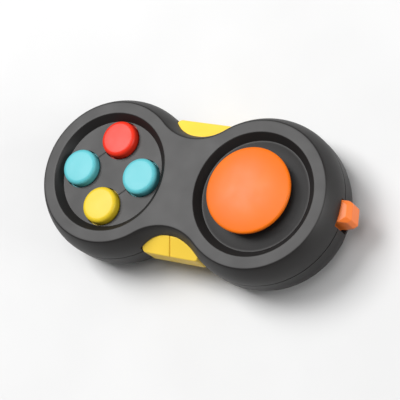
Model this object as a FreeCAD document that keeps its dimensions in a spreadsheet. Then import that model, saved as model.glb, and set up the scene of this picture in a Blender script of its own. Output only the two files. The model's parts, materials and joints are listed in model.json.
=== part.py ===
import FreeCAD, Part
import math
import os
import Sketcher

# Two-lobed fidget pad, in millimetres.
# Frame: origin at the centre of the flat underside, +Z up through the button face,
# +X along the two lobes towards the thumb stick and the flip switch, +Y to the single trigger.

SIZES = [
    # housing
    ("lobe_radius", 17.85, "lobe radius at the flat faces"),
    ("lobe_gap", 3.3, "gap between the two lobe circles"),
    ("neck_half", 10.95, "half width of the waist at the flat faces"),
    ("body_height", 17.0, "height of the closed housing"),
    ("split_rise", 1.7, "joint between the two shells above mid height"),
    ("skirt_flare", 2.3, "how far the sides stand out beyond the flat faces"),
    ("shoulder_drop", 3.0, "height of the steep part of the shoulder"),
    ("shoulder_flare", 1.6, "how far the shoulder stands out at its foot"),
    ("belly_height", 6.8, "height where the lower shoulder meets the upright band"),
    ("shell_wall", 2.2, "side wall at the shell joint"),
    ("floor_wall", 1.8, "floor of the bottom shell"),
    ("reveal_height", 0.3, "height of the shadow line between the shells"),
    ("reveal_depth", 0.5, "depth of the shadow line"),
    ("tongue_height", 1.2, "locating tongue of the bottom shell"),
    ("tongue_wall", 0.8, "thickness of the tongue"),
    ("tongue_gap", 0.1, "clearance round the tongue"),
    ("edge_bevel", 0.3, "bevel between the flat faces and the shoulders"),
    # round wells in the top face
    ("rim_width", 2.85, "flat rim between a well and the lobe's edge"),
    ("well_slope", 1.6, "width of the well's sloping wall"),
    ("well_depth", 1.85, "depth of both wells"),
    ("plate_wall", 1.4, "thickness of the well floor"),
    # push buttons
    ("button_pitch", 8.5, "distance of each button from the lobe axis"),
    ("button_radius", 4.65, "radius of a button"),
    ("button_stand", 0.3, "button top above the top face"),
    ("button_gap", 0.2, "gap round a button in its hole"),
    ("button_round", 1.0, "rounding of the button top"),
    ("flange_step", 0.75, "how far the flange stands out beyond the button"),
    ("flange_wall", 1.2, "thickness of the button flange"),
    ("flange_gap", 0.2, "gap between flange and well floor"),
    ("stem_radius", 1.8, "radius of the button stem"),
    ("slide_gap", 0.06, "clearance of sliding stems and turning pins"),
    ("base_gap", 0.3, "gap between the button base and the screw bosses"),
    ("base_height", 8.0, "top of the button base"),
    ("base_wall", 0.8, "side wall of the button base"),
    ("base_plate", 1.2, "guide plate of the button base"),
    ("stem_reach", 1.4, "stem length below the guide plate"),
    ("button_coil_radius", 2.6, "mean radius of a button spring"),
    ("button_wire", 0.2, "wire radius of a button spring"),
    ("button_coil_pitch", 0.85, "pitch of a button spring"),
    # thumb stick
    ("cap_radius", 10.35, "radius of the thumb cap"),
    ("cap_stand", 2.8, "cap's upper edge above the top face"),
    ("cap_edge", 0.95, "height of the cap's side"),
    ("cap_crown", 1.1, "rise of the cap's dome"),
    ("cap_undercut", 1.8, "width of the sloped underside of the cap"),
    ("cap_undercut_drop", 0.5, "drop of the sloped underside of the cap"),
    ("cap_round", 0.35, "rounding of the cap edge"),
    ("cap_boss_radius", 3.6, "boss under the cap"),
    ("cap_boss_drop", 0.8, "length of the boss below the cap"),
    ("socket_depth", 1.6, "depth of the cap socket above the boss's foot"),
    ("post_radius", 2.4, "radius of the stick post"),
    ("skirt_radius", 11.5, "outer radius of the ball skirt about the pivot"),
    ("skirt_sink", 0.0, "crown of the ball skirt below the top face"),
    ("skirt_wall", 1.2, "thickness of the ball skirt"),
    ("skirt_angle", 55.0, "half angle of the ball skirt, in degrees"),
    ("skirt_gap", 0.3, "gap between the ball skirt and the dome above it"),
    ("stick_hole_radius", 7.2, "opening in the fixed dome"),
    ("dome_rise", 1.25, "rise of the fixed dome from the well wall to the opening"),
    ("dome_curve", 14.4, "radius of the fixed dome's section"),
    ("hub_radius", 3.0, "ball hub of the stick"),
    ("ring_inner_radius", 3.7, "gimbal ring bore"),
    ("ring_outer_radius", 5.6, "gimbal ring outside"),
    ("ring_height", 2.2, "gimbal ring height"),
    ("trunnion_radius", 0.8, "radius of the trunnions and of the stick pin"),
    ("trunnion_reach", 1.9, "how far a trunnion stands out of the ring"),
    ("pin_inset", 0.15, "how far the stick pin ends inside the ring"),
    ("pin_gap", 0.02, "clearance of a pin in the hole that holds it"),
    ("cradle_gap", 0.7, "gap between gimbal ring and cradle"),
    ("cradle_wall", 1.9, "wall of the cradle"),
    ("cradle_top", 2.4, "height of the cradle above the pivot"),
    ("stick_coil_radius", 7.2, "mean radius of the centring spring"),
    ("stick_wire", 0.3, "wire radius of the centring spring"),
    ("stick_coil_pitch", 1.3, "pitch of the centring spring"),
    # triggers
    ("trigger_half", 7.6, "half length of a trigger"),
    ("trigger_edge_stand", 0.05, "trigger's upper edge beyond the foot of the shoulder"),
    ("trigger_face_stand", 3.75, "trigger's outer face beyond the waist"),
    ("trigger_edge_drop", 3.0, "trigger's upper edge below the top face"),
    ("trigger_face_drop", 5.7, "trigger's outer face below the top face"),
    ("trigger_back_sink", 0.75, "trigger's inner face inside the waist's top edge"),
    ("trigger_neck_drop", 0.5, "step behind the trigger's visible face"),
    ("trigger_neck", 0.3, "depth of that step"),
    ("trigger_gap", 0.2, "gap round a trigger in its window"),
    ("trigger_end_gap", 0.35, "gap at the ends of a trigger"),
    ("trigger_seam", 0.16, "gap between the two front triggers"),
    ("trigger_corner", 1.0, "rounding of the trigger's ends"),
    ("trigger_edge_round", 0.3, "rounding of the trigger's long edges"),
    ("trigger_travel", 1.2, "travel of a trigger"),
    ("ear_reach", 1.4, "how far an ear stands out of the trigger's end"),
    ("ear_gap", 0.25, "gap between an ear and the side wall"),
    ("ear_wall", 1.5, "thickness of an ear"),
    ("ear_height", 7.0, "height of an ear"),
    ("guide_radius", 1.0, "guide rod of a trigger"),
    ("guide_place", 3.7, "distance of the guide rods from the middle"),
    ("guide_end", 2.0, "distance of the rod ends from the centre line"),
    ("rail_half_length", 5.2, "half length of the trigger rail"),
    ("rail_half_width", 4.0, "half width of the trigger rail"),
    ("rail_cover", 3.5, "top of the trigger rail above mid height"),
    ("rail_web", 0.4, "half thickness of the web between opposite bores"),
    ("trigger_coil_radius", 1.6, "mean radius of a trigger spring"),
    ("trigger_wire", 0.2, "wire radius of a trigger spring"),
    ("trigger_coil_pitch", 0.95, "pitch of a trigger spring"),
    # flip switch
    ("switch_inset", 0.85, "switch pivot inside the lobe's edge"),
    ("switch_height", 6.8, "height of the switch lever"),
    ("switch_half", 2.65, "half width of the switch lever"),
    ("switch_hub_radius", 3.0, "round hub of the switch lever"),
    ("switch_length", 5.6, "length of the lever from its pivot"),
    ("switch_tip_half", 2.0, "half width of the lever's tip"),
    ("switch_bevel", 1.0, "bevel at the lever's tip"),
    ("switch_throw", 9.0, "lean of the lever from the middle, in degrees"),
    ("switch_gap", 0.2, "gap round the lever in its slot"),
    ("switch_pin_radius", 0.9, "switch pin radius"),
    ("switch_boss_radius", 1.7, "bosses that hold the switch pin"),
    ("switch_boss_gap", 0.2, "gap between the lever and the bosses"),
    ("pin_end_wall", 0.8, "material beyond each end of the switch pin"),
    ("leaf_wall", 0.3, "thickness of the detent leaf"),
    ("leaf_gap", 0.1, "gap between the detent leaf and the lever's hub"),
    ("leaf_half", 4.6, "half length of the detent leaf"),
    ("leaf_height", 5.0, "height of the detent leaf"),
    ("leaf_slot_gap", 0.04, "clearance of the leaf in its posts"),
    ("leaf_post_half", 0.9, "half thickness of a leaf post"),
    ("leaf_post_width", 1.4, "width of a leaf post"),
    ("leaf_post_cover", 0.8, "length of leaf held in each post"),
    ("leaf_post_rise", 0.5, "top of the leaf posts above mid height"),
    # screws
    ("screw_inset", 2.65, "screw axis inside the lobe's edge"),
    ("screw_angle", 60.0, "angle of the screws from the long axis, in degrees"),
    ("screw_radius", 0.95, "screw shank"),
    ("screw_head_radius", 1.7, "screw head"),
    ("screw_head_height", 1.3, "screw head height"),
    ("screw_sink", 0.9, "screw head below the underside"),
    ("screw_length", 9.0, "screw shank length under the head"),
    ("screw_gap", 0.05, "clearance round the shank"),
    ("head_gap", 0.25, "clearance round the head"),
    ("screw_slot", 0.45, "half width of the cross recess"),
    ("screw_slot_reach", 1.1, "half length of the cross recess"),
    ("screw_slot_depth", 0.7, "depth of the cross recess"),
    ("boss_radius", 2.2, "screw boss radius"),
    ("boss_joint", 7.0, "height where the bosses of the two shells meet"),
    ("boss_overrun", 0.6, "free depth beyond the screw's end"),
]

doc = FreeCAD.newDocument("fidget_pad")
sheet = doc.addObject("Spreadsheet::Sheet", "size")
for row, (alias, value, meaning) in enumerate(SIZES, start=1):
    sheet.set("A" + str(row), meaning)
    sheet.set("B" + str(row), str(value))
    sheet.setAlias("B" + str(row), alias)
doc.recompute()

# Lengths that several pieces share, written once as expressions of the sheet.
HALF_SPACING = "(size.lobe_radius + size.lobe_gap / 2)"
MID_HEIGHT = "size.body_height / 2"
SPLIT = "(" + MID_HEIGHT + " + size.split_rise)"
WELL_RADIUS = "(size.lobe_radius - size.rim_width)"
WELL_FLOOR_RADIUS = "(" + WELL_RADIUS + " - size.well_slope)"
WELL_FLOOR = "(size.body_height - size.well_depth)"
PLATE_UNDER = "(size.body_height - size.well_depth - size.plate_wall)"
FLANGE_TOP = "(" + PLATE_UNDER + " - size.flange_gap)"
FLANGE_UNDER = "(" + FLANGE_TOP + " - size.flange_wall)"
BAY_RADIUS = (
    "((" + HALF_SPACING + " * " + HALF_SPACING + " + size.neck_half * size.neck_half"
    " - size.lobe_radius * size.lobe_radius) / (2 * (size.lobe_radius - size.neck_half)))"
)
BAY_CENTRE = "(size.neck_half + " + BAY_RADIUS + ")"
CAVITY_FLARE = "(size.skirt_flare - size.shell_wall)"
CRADLE_RADIUS = "(size.ring_outer_radius + size.cradle_gap + size.cradle_wall)"
PIVOT = "(size.body_height - size.skirt_sink - size.skirt_radius)"
CRADLE_RIM = "(" + PIVOT + " + size.cradle_top)"
CAP_EDGE = "(size.body_height + size.cap_stand)"
CAP_FOOT = "(" + CAP_EDGE + " - size.cap_edge - size.cap_undercut_drop)"
BOSS_FOOT = "(" + CAP_FOOT + " - size.cap_boss_drop)"
POST_TOP = "(" + BOSS_FOOT + " + size.socket_depth)"
TRIGGER_EDGE = "(size.neck_half + size.shoulder_flare + size.trigger_edge_stand)"
TRIGGER_FACE = "(size.neck_half + size.skirt_flare + size.trigger_face_stand)"
TRIGGER_BACK = "(size.neck_half - size.trigger_back_sink)"
WINDOW_HALF = "(size.trigger_half + size.trigger_end_gap)"
LOBE_CAVITY = "(size.lobe_radius + " + CAVITY_FLARE + ")"
WINDOW_INSET = "(" + HALF_SPACING + " - " + WINDOW_HALF + ")"
SIDE_WALL = "sqrt(" + LOBE_CAVITY + " * " + LOBE_CAVITY + " - " + WINDOW_INSET + " * " + WINDOW_INSET + ")"
EAR_OUTER = "(" + SIDE_WALL + " - size.ear_gap)"
EAR_INNER = "(" + EAR_OUTER + " - size.ear_wall)"
SWITCH_X = "(" + HALF_SPACING + " + size.lobe_radius - size.switch_inset)"
SWITCH_UNDER = "(" + MID_HEIGHT + " - size.switch_height / 2)"
SWITCH_OVER = "(" + MID_HEIGHT + " + size.switch_height / 2)"
LEAF_X = "(" + SWITCH_X + " - size.switch_hub_radius - size.leaf_gap - size.leaf_wall / 2)"
SCREW_PLACE = "(size.lobe_radius - size.screw_inset)"
SCREW_X = "(" + HALF_SPACING + " + " + SCREW_PLACE + " * cos(size.screw_angle * 1 deg))"
SCREW_Y = "(" + SCREW_PLACE + " * sin(size.screw_angle * 1 deg))"
SCREW_SEAT = "(size.screw_sink + size.screw_head_height)"
PAST = 3.0  # how far a cutting shape runs past what it cuts
ROOT = 0.3  # how far an added shape is rooted in what carries it


def number(expression):
    result = sheet.evalExpression(str(expression))
    return float(getattr(result, "Value", result))


def new_body(label):
    body = doc.addObject("PartDesign::Body", label)
    body.Label = label
    return body


def origin_plane(body, role):
    return [item for item in body.Origin.OriginFeatures if item.Role == role][0]


def new_sketch(body, name, role, offset=None):
    sketch = body.newObject("Sketcher::SketchObject", name)
    sketch.AttachmentSupport = [(origin_plane(body, role), "")]
    sketch.MapMode = "FlatFace"
    for axis, expression in (offset or {}).items():
        sketch.setExpression("AttachmentOffset.Base." + axis, str(expression))
    return sketch


def bind(sketch, constraint, expression):
    index = sketch.addConstraint(constraint)
    sketch.setExpression("Constraints[" + str(index) + "]", str(expression))


def place_point(sketch, geometry, point, across, up):
    # Ties a sketch point to its two distances from the sketch origin.
    if across == 0:
        sketch.addConstraint(Sketcher.Constraint("PointOnObject", geometry, point, -2))
    else:
        bind(sketch, Sketcher.Constraint("DistanceX", -1, 1, geometry, point, number(across)), across)
    if up == 0:
        sketch.addConstraint(Sketcher.Constraint("PointOnObject", geometry, point, -1))
    else:
        bind(sketch, Sketcher.Constraint("DistanceY", -1, 1, geometry, point, number(up)), up)


def add_polygon(sketch, corners):
    # A corner is (across, up), or (across, up, radius) where the edge to the next corner is an arc
    # that bows to the left of its direction, or to the right where the radius is negative.
    count = len(corners)
    spots = [FreeCAD.Vector(number(corner[0]), number(corner[1]), 0) for corner in corners]
    first = sketch.GeometryCount
    starts, ends = [], []
    for index, corner in enumerate(corners):
        start = spots[index]
        end = spots[(index + 1) % count]
        bows_left = True
        if len(corner) == 3:
            radius = number(corner[2])
            bows_left = radius > 0
            half_chord = (end - start).Length / 2
            bow = abs(radius) - math.sqrt(max(radius**2 - half_chord**2, 0.0))
            left = FreeCAD.Vector(start.y - end.y, end.x - start.x, 0).normalize()
            middle = (start + end) / 2 + left * math.copysign(bow, radius)
            sketch.addGeometry(Part.Arc(start, middle, end))
        else:
            sketch.addGeometry(Part.LineSegment(start, end))
        # A sketch stores every arc anticlockwise, so one that bows left has its ends swapped.
        swapped = len(corner) == 3 and bows_left
        starts.append(2 if swapped else 1)
        ends.append(1 if swapped else 2)
    for index, corner in enumerate(corners):
        before = (index - 1) % count
        place_point(sketch, first + index, starts[index], corner[0], corner[1])
        join = Sketcher.Constraint(
            "Coincident", first + index, starts[index], first + before, ends[before]
        )
        sketch.addConstraint(join)
        if len(corner) == 3:
            radius = Sketcher.Constraint("Radius", first + index, abs(number(corner[2])))
            bind(sketch, radius, corner[2].lstrip("-"))


def add_circle(sketch, across, up, radius):
    centre = FreeCAD.Vector(number(across), number(up), 0)
    index = sketch.addGeometry(Part.Circle(centre, FreeCAD.Vector(0, 0, 1), number(radius)))
    place_point(sketch, index, 3, across, up)
    bind(sketch, Sketcher.Constraint("Radius", index, number(radius)), radius)


def add_outline(sketch, flare):
    # The waisted plan of the housing, grown outwards by flare: two lobe arcs and two bay arcs.
    grow = number(flare)
    half = number(HALF_SPACING)
    bay = number(BAY_CENTRE)
    lobe_radius = number("size.lobe_radius") + grow
    bay_radius = math.hypot(half, bay) - lobe_radius
    lean = math.atan2(bay, half)
    normal = FreeCAD.Vector(0, 0, 1)
    arcs = [
        (half, 0, lobe_radius, lean - math.pi, math.pi - lean),
        (0, bay, bay_radius, math.pi + lean, 2 * math.pi - lean),
        (-half, 0, lobe_radius, lean, 2 * math.pi - lean),
        (0, -bay, bay_radius, lean, math.pi - lean),
    ]
    right = sketch.GeometryCount
    back, left, front = right + 1, right + 2, right + 3
    for across, up, radius, start, end in arcs:
        circle = Part.Circle(FreeCAD.Vector(across, up, 0), normal, radius)
        sketch.addGeometry(Part.ArcOfCircle(circle, start, end))
    for one, one_end, other, other_end in (
        (right, 2, back, 2),
        (back, 1, left, 1),
        (left, 2, front, 2),
        (front, 1, right, 1),
    ):
        sketch.addConstraint(Sketcher.Constraint("Tangent", one, one_end, other, other_end))
    place_point(sketch, right, 3, HALF_SPACING, 0)
    place_point(sketch, left, 3, "-" + HALF_SPACING, 0)
    place_point(sketch, back, 3, 0, BAY_CENTRE)
    radius = "size.lobe_radius + " + str(flare)
    bind(sketch, Sketcher.Constraint("Radius", right, lobe_radius), radius)
    sketch.addConstraint(Sketcher.Constraint("Equal", back, front))


def outline_sketch(body, name, height, *flares):
    sketch = new_sketch(body, name, "XY_Plane", {"z": height})
    for flare in flares:
        add_outline(sketch, flare)
    return sketch


def require_change(feature, change, adds):
    if (change if adds else -change) < 0.001:
        raise RuntimeError(feature.Name + " adds or cuts nothing")


def extrude(body, kind, sketch, length, reverse=False):
    before = body.Shape.Volume if body.Tip else 0.0
    feature = body.newObject("PartDesign::" + kind, sketch.Name + "_" + kind.lower())
    feature.Profile = sketch
    feature.setExpression("Length", str(length))
    feature.Reversed = reverse
    sketch.Visibility = False
    doc.recompute()
    require_change(feature, body.Shape.Volume - before, kind == "Pad")
    return feature


def revolve(body, kind, sketch):
    before = body.Shape.Volume if body.Tip else 0.0
    feature = body.newObject("PartDesign::" + kind, sketch.Name + "_" + kind.lower())
    feature.Profile = sketch
    feature.ReferenceAxis = (sketch, ["V_Axis"])
    feature.Angle = 360
    doc.recompute()
    require_change(feature, body.Shape.Volume - before, kind == "Revolution")
    return feature


def turned_sketch(body, name, corners, offset=None):
    # A half section, radius across and height up, to be turned about the sketch's own upright axis.
    sketch = new_sketch(body, name, "XZ_Plane", offset)
    add_polygon(sketch, corners)
    return sketch


def loft(body, name, sections, straight=False):
    feature = body.newObject("PartDesign::AdditiveLoft", name)
    feature.Profile = sections[0]
    feature.Sections = sections[1:]
    feature.Ruled = straight
    doc.recompute()
    return feature


def soften(body, kind, name, size, wanted):
    # Rounds or bevels the edges for which wanted(edge) is true.
    base = body.Tip
    edges = [
        "Edge" + str(index)
        for index, edge in enumerate(base.Shape.Edges, start=1)
        if wanted(edge)
    ]
    if not edges:
        raise RuntimeError(name + " finds no edge")
    feature = body.newObject("PartDesign::" + kind, name)
    feature.Base = (base, edges)
    feature.setExpression("Radius" if kind == "Fillet" else "Size", size)
    doc.recompute()
    return feature


def lies_at(edge, height):
    box = edge.BoundBox
    return abs(box.ZMin - height) < 0.01 and abs(box.ZMax - height) < 0.01


def coil(label, axis_role, centre_radius, wire, pitch, height):
    # A helical spring about its body's own Z axis, wound from the height of its first half turn.
    body = new_body(label)
    sketch = new_sketch(body, label + "_wire", axis_role)
    add_circle(sketch, centre_radius, wire, wire)
    helix = body.newObject("PartDesign::AdditiveHelix", label + "_helix")
    helix.Profile = sketch
    helix.ReferenceAxis = (sketch, ["V_Axis"])
    helix.Mode = "pitch-height-angle"
    helix.setExpression("Pitch", pitch)
    helix.setExpression("Height", height)
    doc.recompute()
    return body


def move(body, across="0", along="0", up="0"):
    body.setExpression("Placement.Base.x", across)
    body.setExpression("Placement.Base.y", along)
    body.setExpression("Placement.Base.z", up)


def cut_trigger_windows(body):
    # Both side windows follow the triggers' own section, one gap larger all round.
    reach = "(" + TRIGGER_FACE + " + " + str(PAST) + ")"
    slope_width = "(" + TRIGGER_FACE + " - " + TRIGGER_EDGE + ")"
    slope = "(size.trigger_face_drop - size.trigger_edge_drop) / " + slope_width
    top = "(size.body_height - size.trigger_edge_drop + size.trigger_gap)"
    low = "(size.trigger_edge_drop - size.trigger_gap)"
    inner = "(" + TRIGGER_BACK + " - size.trigger_travel - size.trigger_gap)"
    fall = "(" + reach + " - " + TRIGGER_EDGE + ") * " + slope
    sketch = new_sketch(body, "trigger_windows", "YZ_Plane", {"z": WINDOW_HALF})
    for side in ("", "-"):
        corners = [
            (side + inner, top),
            (side + TRIGGER_EDGE, top),
            (side + reach, top + " - " + fall),
            (side + reach, low + " + " + fall),
            (side + TRIGGER_EDGE, low),
            (side + inner, low),
        ]
        add_polygon(sketch, corners)
    extrude(body, "Pocket", sketch, "2 * " + WINDOW_HALF)


def cut_switch_slot(body):
    # As wide as the lever sweeps at the outside of the band, and as deep as its pivot.
    reach = "(size.skirt_flare + size.switch_inset)"
    half = "(size.switch_half + " + reach + " * sin(size.switch_throw * 1 deg) + size.switch_gap)"
    low = "(" + SWITCH_UNDER + " - size.switch_gap)"
    top = "(" + SWITCH_OVER + " + size.switch_gap)"
    outside = "(" + SWITCH_X + " + " + reach + " + " + str(PAST) + ")"
    sketch = new_sketch(body, "switch_slot", "YZ_Plane", {"z": outside})
    add_polygon(sketch, [("-" + half, low), (half, low), (half, top), ("-" + half, top)])
    extrude(body, "Pocket", sketch, outside + " - " + SWITCH_X)


def screw_circles(sketch, radius):
    for across in ("", "-"):
        for along in ("", "-"):
            add_circle(sketch, across + SCREW_X, along + SCREW_Y, radius)


def make_top_shell():
    body = new_body("top_shell")
    skirt = outline_sketch(body, "skirt_foot", SPLIT, "size.skirt_flare")
    shoulder_height = "size.body_height - size.shoulder_drop"
    shoulder = outline_sketch(body, "skirt_shoulder", shoulder_height, "size.shoulder_flare")
    bevel_height = "size.body_height - size.edge_bevel"
    bevel_low = outline_sketch(body, "bevel_low", bevel_height, "size.edge_bevel")
    bevel_foot = outline_sketch(body, "bevel_foot", bevel_height, "size.edge_bevel")
    rim = outline_sketch(body, "skirt_rim", "size.body_height", "0")
    loft(body, "skirt", [skirt, shoulder, bevel_low])
    loft(body, "rim_bevel", [bevel_foot, rim], straight=True)

    cavity = outline_sketch(body, "top_cavity", SPLIT, CAVITY_FLARE)
    extrude(body, "Pocket", cavity, PLATE_UNDER + " - " + SPLIT, reverse=True)
    rebate_flare = CAVITY_FLARE + " + size.tongue_wall + size.tongue_gap"
    rebate = outline_sketch(body, "tongue_rebate", SPLIT, rebate_flare)
    extrude(body, "Pocket", rebate, "size.tongue_height + size.tongue_gap", reverse=True)

    # Button well, with one hole for each button.
    over = "size.body_height + " + str(PAST)
    button_well = [
        (0, WELL_FLOOR),
        (WELL_FLOOR_RADIUS, WELL_FLOOR),
        (WELL_RADIUS, "size.body_height"),
        (WELL_RADIUS, over),
        (0, over),
    ]
    sketch = turned_sketch(body, "button_well", button_well, {"x": "-" + HALF_SPACING})
    revolve(body, "Groove", sketch)
    holes = new_sketch(body, "button_holes", "XY_Plane", {"z": WELL_FLOOR})
    for across, along in BUTTON_PLACES.values():
        add_circle(
            holes, "-" + HALF_SPACING + " + " + str(across) + " * size.button_pitch",
            str(along) + " * size.button_pitch" if along else 0,
            "size.button_radius + size.button_gap",
        )
    extrude(body, "Pocket", holes, "size.plate_wall + size.button_gap")

    # Stick well: a low dome with a central opening, hollowed below for the ball skirt.
    dome_top = WELL_FLOOR + " + size.dome_rise"
    under = PLATE_UNDER + " - " + str(PAST)
    stick_well = [
        (0, under),
        ("size.stick_hole_radius", under),
        ("size.stick_hole_radius", dome_top, "size.dome_curve"),
        (WELL_FLOOR_RADIUS, WELL_FLOOR),
        (WELL_RADIUS, "size.body_height"),
        (WELL_RADIUS, over),
        (0, over),
    ]
    sketch = turned_sketch(body, "stick_well", stick_well, {"x": HALF_SPACING})
    revolve(body, "Groove", sketch)
    ball = new_sketch(body, "skirt_room", "XZ_Plane", {"x": HALF_SPACING, "y": PIVOT})
    room = "size.skirt_radius + size.skirt_gap"
    radius = number(room)
    turn = Part.Circle(FreeCAD.Vector(0, 0, 0), FreeCAD.Vector(0, 0, 1), radius)
    ball.addGeometry(Part.ArcOfCircle(turn, -math.pi / 2, math.pi / 2))
    ball.addGeometry(Part.LineSegment(FreeCAD.Vector(0, radius, 0), FreeCAD.Vector(0, -radius, 0)))
    ball.addConstraint(Sketcher.Constraint("Coincident", 0, 3, -1, 1))
    ball.addConstraint(Sketcher.Constraint("Coincident", 0, 2, 1, 1))
    ball.addConstraint(Sketcher.Constraint("Coincident", 0, 1, 1, 2))
    ball.addConstraint(Sketcher.Constraint("PointOnObject", 1, 1, -2))
    bind(ball, Sketcher.Constraint("Radius", 0, radius), room)
    revolve(body, "Groove", ball)

    # Screw bosses, and the upper boss of the switch pin.
    root = "(" + PLATE_UNDER + " + " + str(ROOT) + ")"
    bosses = new_sketch(body, "top_bosses", "XY_Plane", {"z": root})
    screw_circles(bosses, "size.boss_radius")
    extrude(body, "Pad", bosses, root + " - size.boss_joint", reverse=True)
    pilots = new_sketch(body, "top_pilots", "XY_Plane", {"z": "size.boss_joint"})
    screw_circles(pilots, "size.screw_radius + size.screw_gap")
    end = SCREW_SEAT + " + size.screw_length + size.boss_overrun"
    extrude(body, "Pocket", pilots, end + " - size.boss_joint", reverse=True)
    boss = new_sketch(body, "top_pin_boss", "XY_Plane", {"z": root})
    add_circle(boss, SWITCH_X, 0, "size.switch_boss_radius")
    foot = "(" + SWITCH_OVER + " + size.switch_boss_gap)"
    extrude(body, "Pad", boss, root + " - " + foot, reverse=True)
    bore = new_sketch(body, "top_pin_bore", "XY_Plane", {"z": foot})
    add_circle(bore, SWITCH_X, 0, "size.switch_pin_radius + size.pin_gap")
    extrude(body, "Pocket", bore, PLATE_UNDER + " - " + foot, reverse=True)

    cut_trigger_windows(body)
    cut_switch_slot(body)
    return body


def make_bottom_shell():
    body = new_body("bottom_shell")
    foot = outline_sketch(body, "foot_edge", "0", "0")
    bevel_top = outline_sketch(body, "bevel_top", "size.edge_bevel", "size.edge_bevel")
    bevel_rim = outline_sketch(body, "bevel_rim", "size.edge_bevel", "size.edge_bevel")
    shoulder = outline_sketch(body, "foot_shoulder", "size.shoulder_drop", "size.shoulder_flare")
    belly = outline_sketch(body, "foot_belly", "size.belly_height", "size.skirt_flare")
    loft(body, "foot_bevel", [foot, bevel_top], straight=True)
    loft(body, "foot", [bevel_rim, shoulder, belly])
    band = outline_sketch(body, "band", "size.belly_height", "size.skirt_flare")
    extrude(body, "Pad", band, SPLIT + " - size.belly_height - size.reveal_height")
    neck = outline_sketch(
        body, "reveal", SPLIT + " - size.reveal_height",
        "size.skirt_flare - size.reveal_depth",
    )
    extrude(body, "Pad", neck, "size.reveal_height")
    tongue = outline_sketch(body, "tongue", SPLIT, CAVITY_FLARE + " + size.tongue_wall")
    extrude(body, "Pad", tongue, "size.tongue_height")
    top = "(" + SPLIT + " + size.tongue_height)"
    cavity = outline_sketch(body, "bottom_cavity", top, CAVITY_FLARE)
    extrude(body, "Pocket", cavity, top + " - size.floor_wall")

    # Screw pillars with sunk heads, and the lower boss of the switch pin.
    root = "(size.floor_wall - " + str(ROOT) + ")"
    pillars = new_sketch(body, "pillars", "XY_Plane", {"z": root})
    screw_circles(pillars, "size.boss_radius")
    extrude(body, "Pad", pillars, "size.boss_joint - " + root)
    shanks = new_sketch(body, "shank_holes", "XY_Plane", {"z": "size.boss_joint"})
    screw_circles(shanks, "size.screw_radius + size.screw_gap")
    extrude(body, "Pocket", shanks, "size.boss_joint")
    heads = new_sketch(body, "head_sinks", "XY_Plane", {"z": SCREW_SEAT})
    screw_circles(heads, "size.screw_head_radius + size.head_gap")
    extrude(body, "Pocket", heads, SCREW_SEAT)
    boss = new_sketch(body, "pin_boss", "XY_Plane", {"z": root})
    add_circle(boss, SWITCH_X, 0, "size.switch_boss_radius")
    top = "(" + SWITCH_UNDER + " - size.switch_boss_gap)"
    extrude(body, "Pad", boss, top + " - " + root)
    bore = new_sketch(body, "pin_bore", "XY_Plane", {"z": top})
    add_circle(bore, SWITCH_X, 0, "size.switch_pin_radius + size.pin_gap")
    extrude(body, "Pocket", bore, top + " - size.pin_end_wall")

    # Two slotted posts hold the ends of the detent leaf.
    post_top = "(" + MID_HEIGHT + " + size.leaf_post_rise)"
    posts = new_sketch(body, "leaf_posts", "XY_Plane", {"z": root})
    slots = new_sketch(body, "leaf_slots", "XY_Plane", {"z": post_top})
    inner = "(size.leaf_half - size.leaf_post_cover)"
    outer = "(size.leaf_half - size.leaf_post_cover + size.leaf_post_width)"
    slot_half = "(size.leaf_wall / 2 + size.leaf_slot_gap)"
    slot_end = "(size.leaf_half + size.leaf_slot_gap)"
    slot_start = "(" + inner + " - size.leaf_slot_gap)"
    for side in ("", "-"):
        add_strip(posts, LEAF_X, "size.leaf_post_half", side + inner, side + outer)
        add_strip(slots, LEAF_X, slot_half, side + slot_start, side + slot_end)
    extrude(body, "Pad", posts, post_top + " - " + root)
    leaf_foot = "(" + MID_HEIGHT + " - size.leaf_height / 2)"
    extrude(body, "Pocket", slots, post_top + " - " + leaf_foot)

    cut_trigger_windows(body)
    cut_switch_slot(body)
    return body


def add_strip(sketch, across, half, start, end):
    # A rectangle centred on across, from start to end.
    low = "(" + across + " - " + half + ")"
    high = "(" + across + " + " + half + ")"
    add_polygon(sketch, [(low, start), (high, start), (high, end), (low, end)])


BUTTON_PLACES = {
    "button_teal_right": (1, 0),
    "button_red": (0, 1),
    "button_teal_left": (-1, 0),
    "button_yellow": (0, -1),
}


def make_button(label, place):
    body = new_body(label)
    flange_radius = "size.button_radius + size.flange_step"
    stem_end = "size.base_height - size.base_plate - size.stem_reach"
    top = "size.body_height + size.button_stand"
    section = [
        (0, stem_end),
        ("size.stem_radius", stem_end),
        ("size.stem_radius", FLANGE_UNDER),
        (flange_radius, FLANGE_UNDER),
        (flange_radius, FLANGE_TOP),
        ("size.button_radius", FLANGE_TOP),
        ("size.button_radius", top),
        (0, top),
    ]
    revolve(body, "Revolution", turned_sketch(body, label + "_section", section))
    soften(
        body, "Fillet", label + "_round", "size.button_round",
        lambda edge: lies_at(edge, number(top)) and len(edge.Vertexes) == 1,
    )
    across, along = place
    move(
        body, "-" + HALF_SPACING + " + " + str(across) + " * size.button_pitch",
        str(along) + " * size.button_pitch",
    )
    return body


def make_button_spring(label, place):
    free = FLANGE_UNDER + " - size.base_height - 2 * size.button_wire"
    body = coil(
        label, "XZ_Plane", "size.button_coil_radius", "size.button_wire",
        "size.button_coil_pitch", free,
    )
    across, along = place
    move(
        body, "-" + HALF_SPACING + " + " + str(across) + " * size.button_pitch",
        str(along) + " * size.button_pitch", "size.base_height",
    )
    return body


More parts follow.
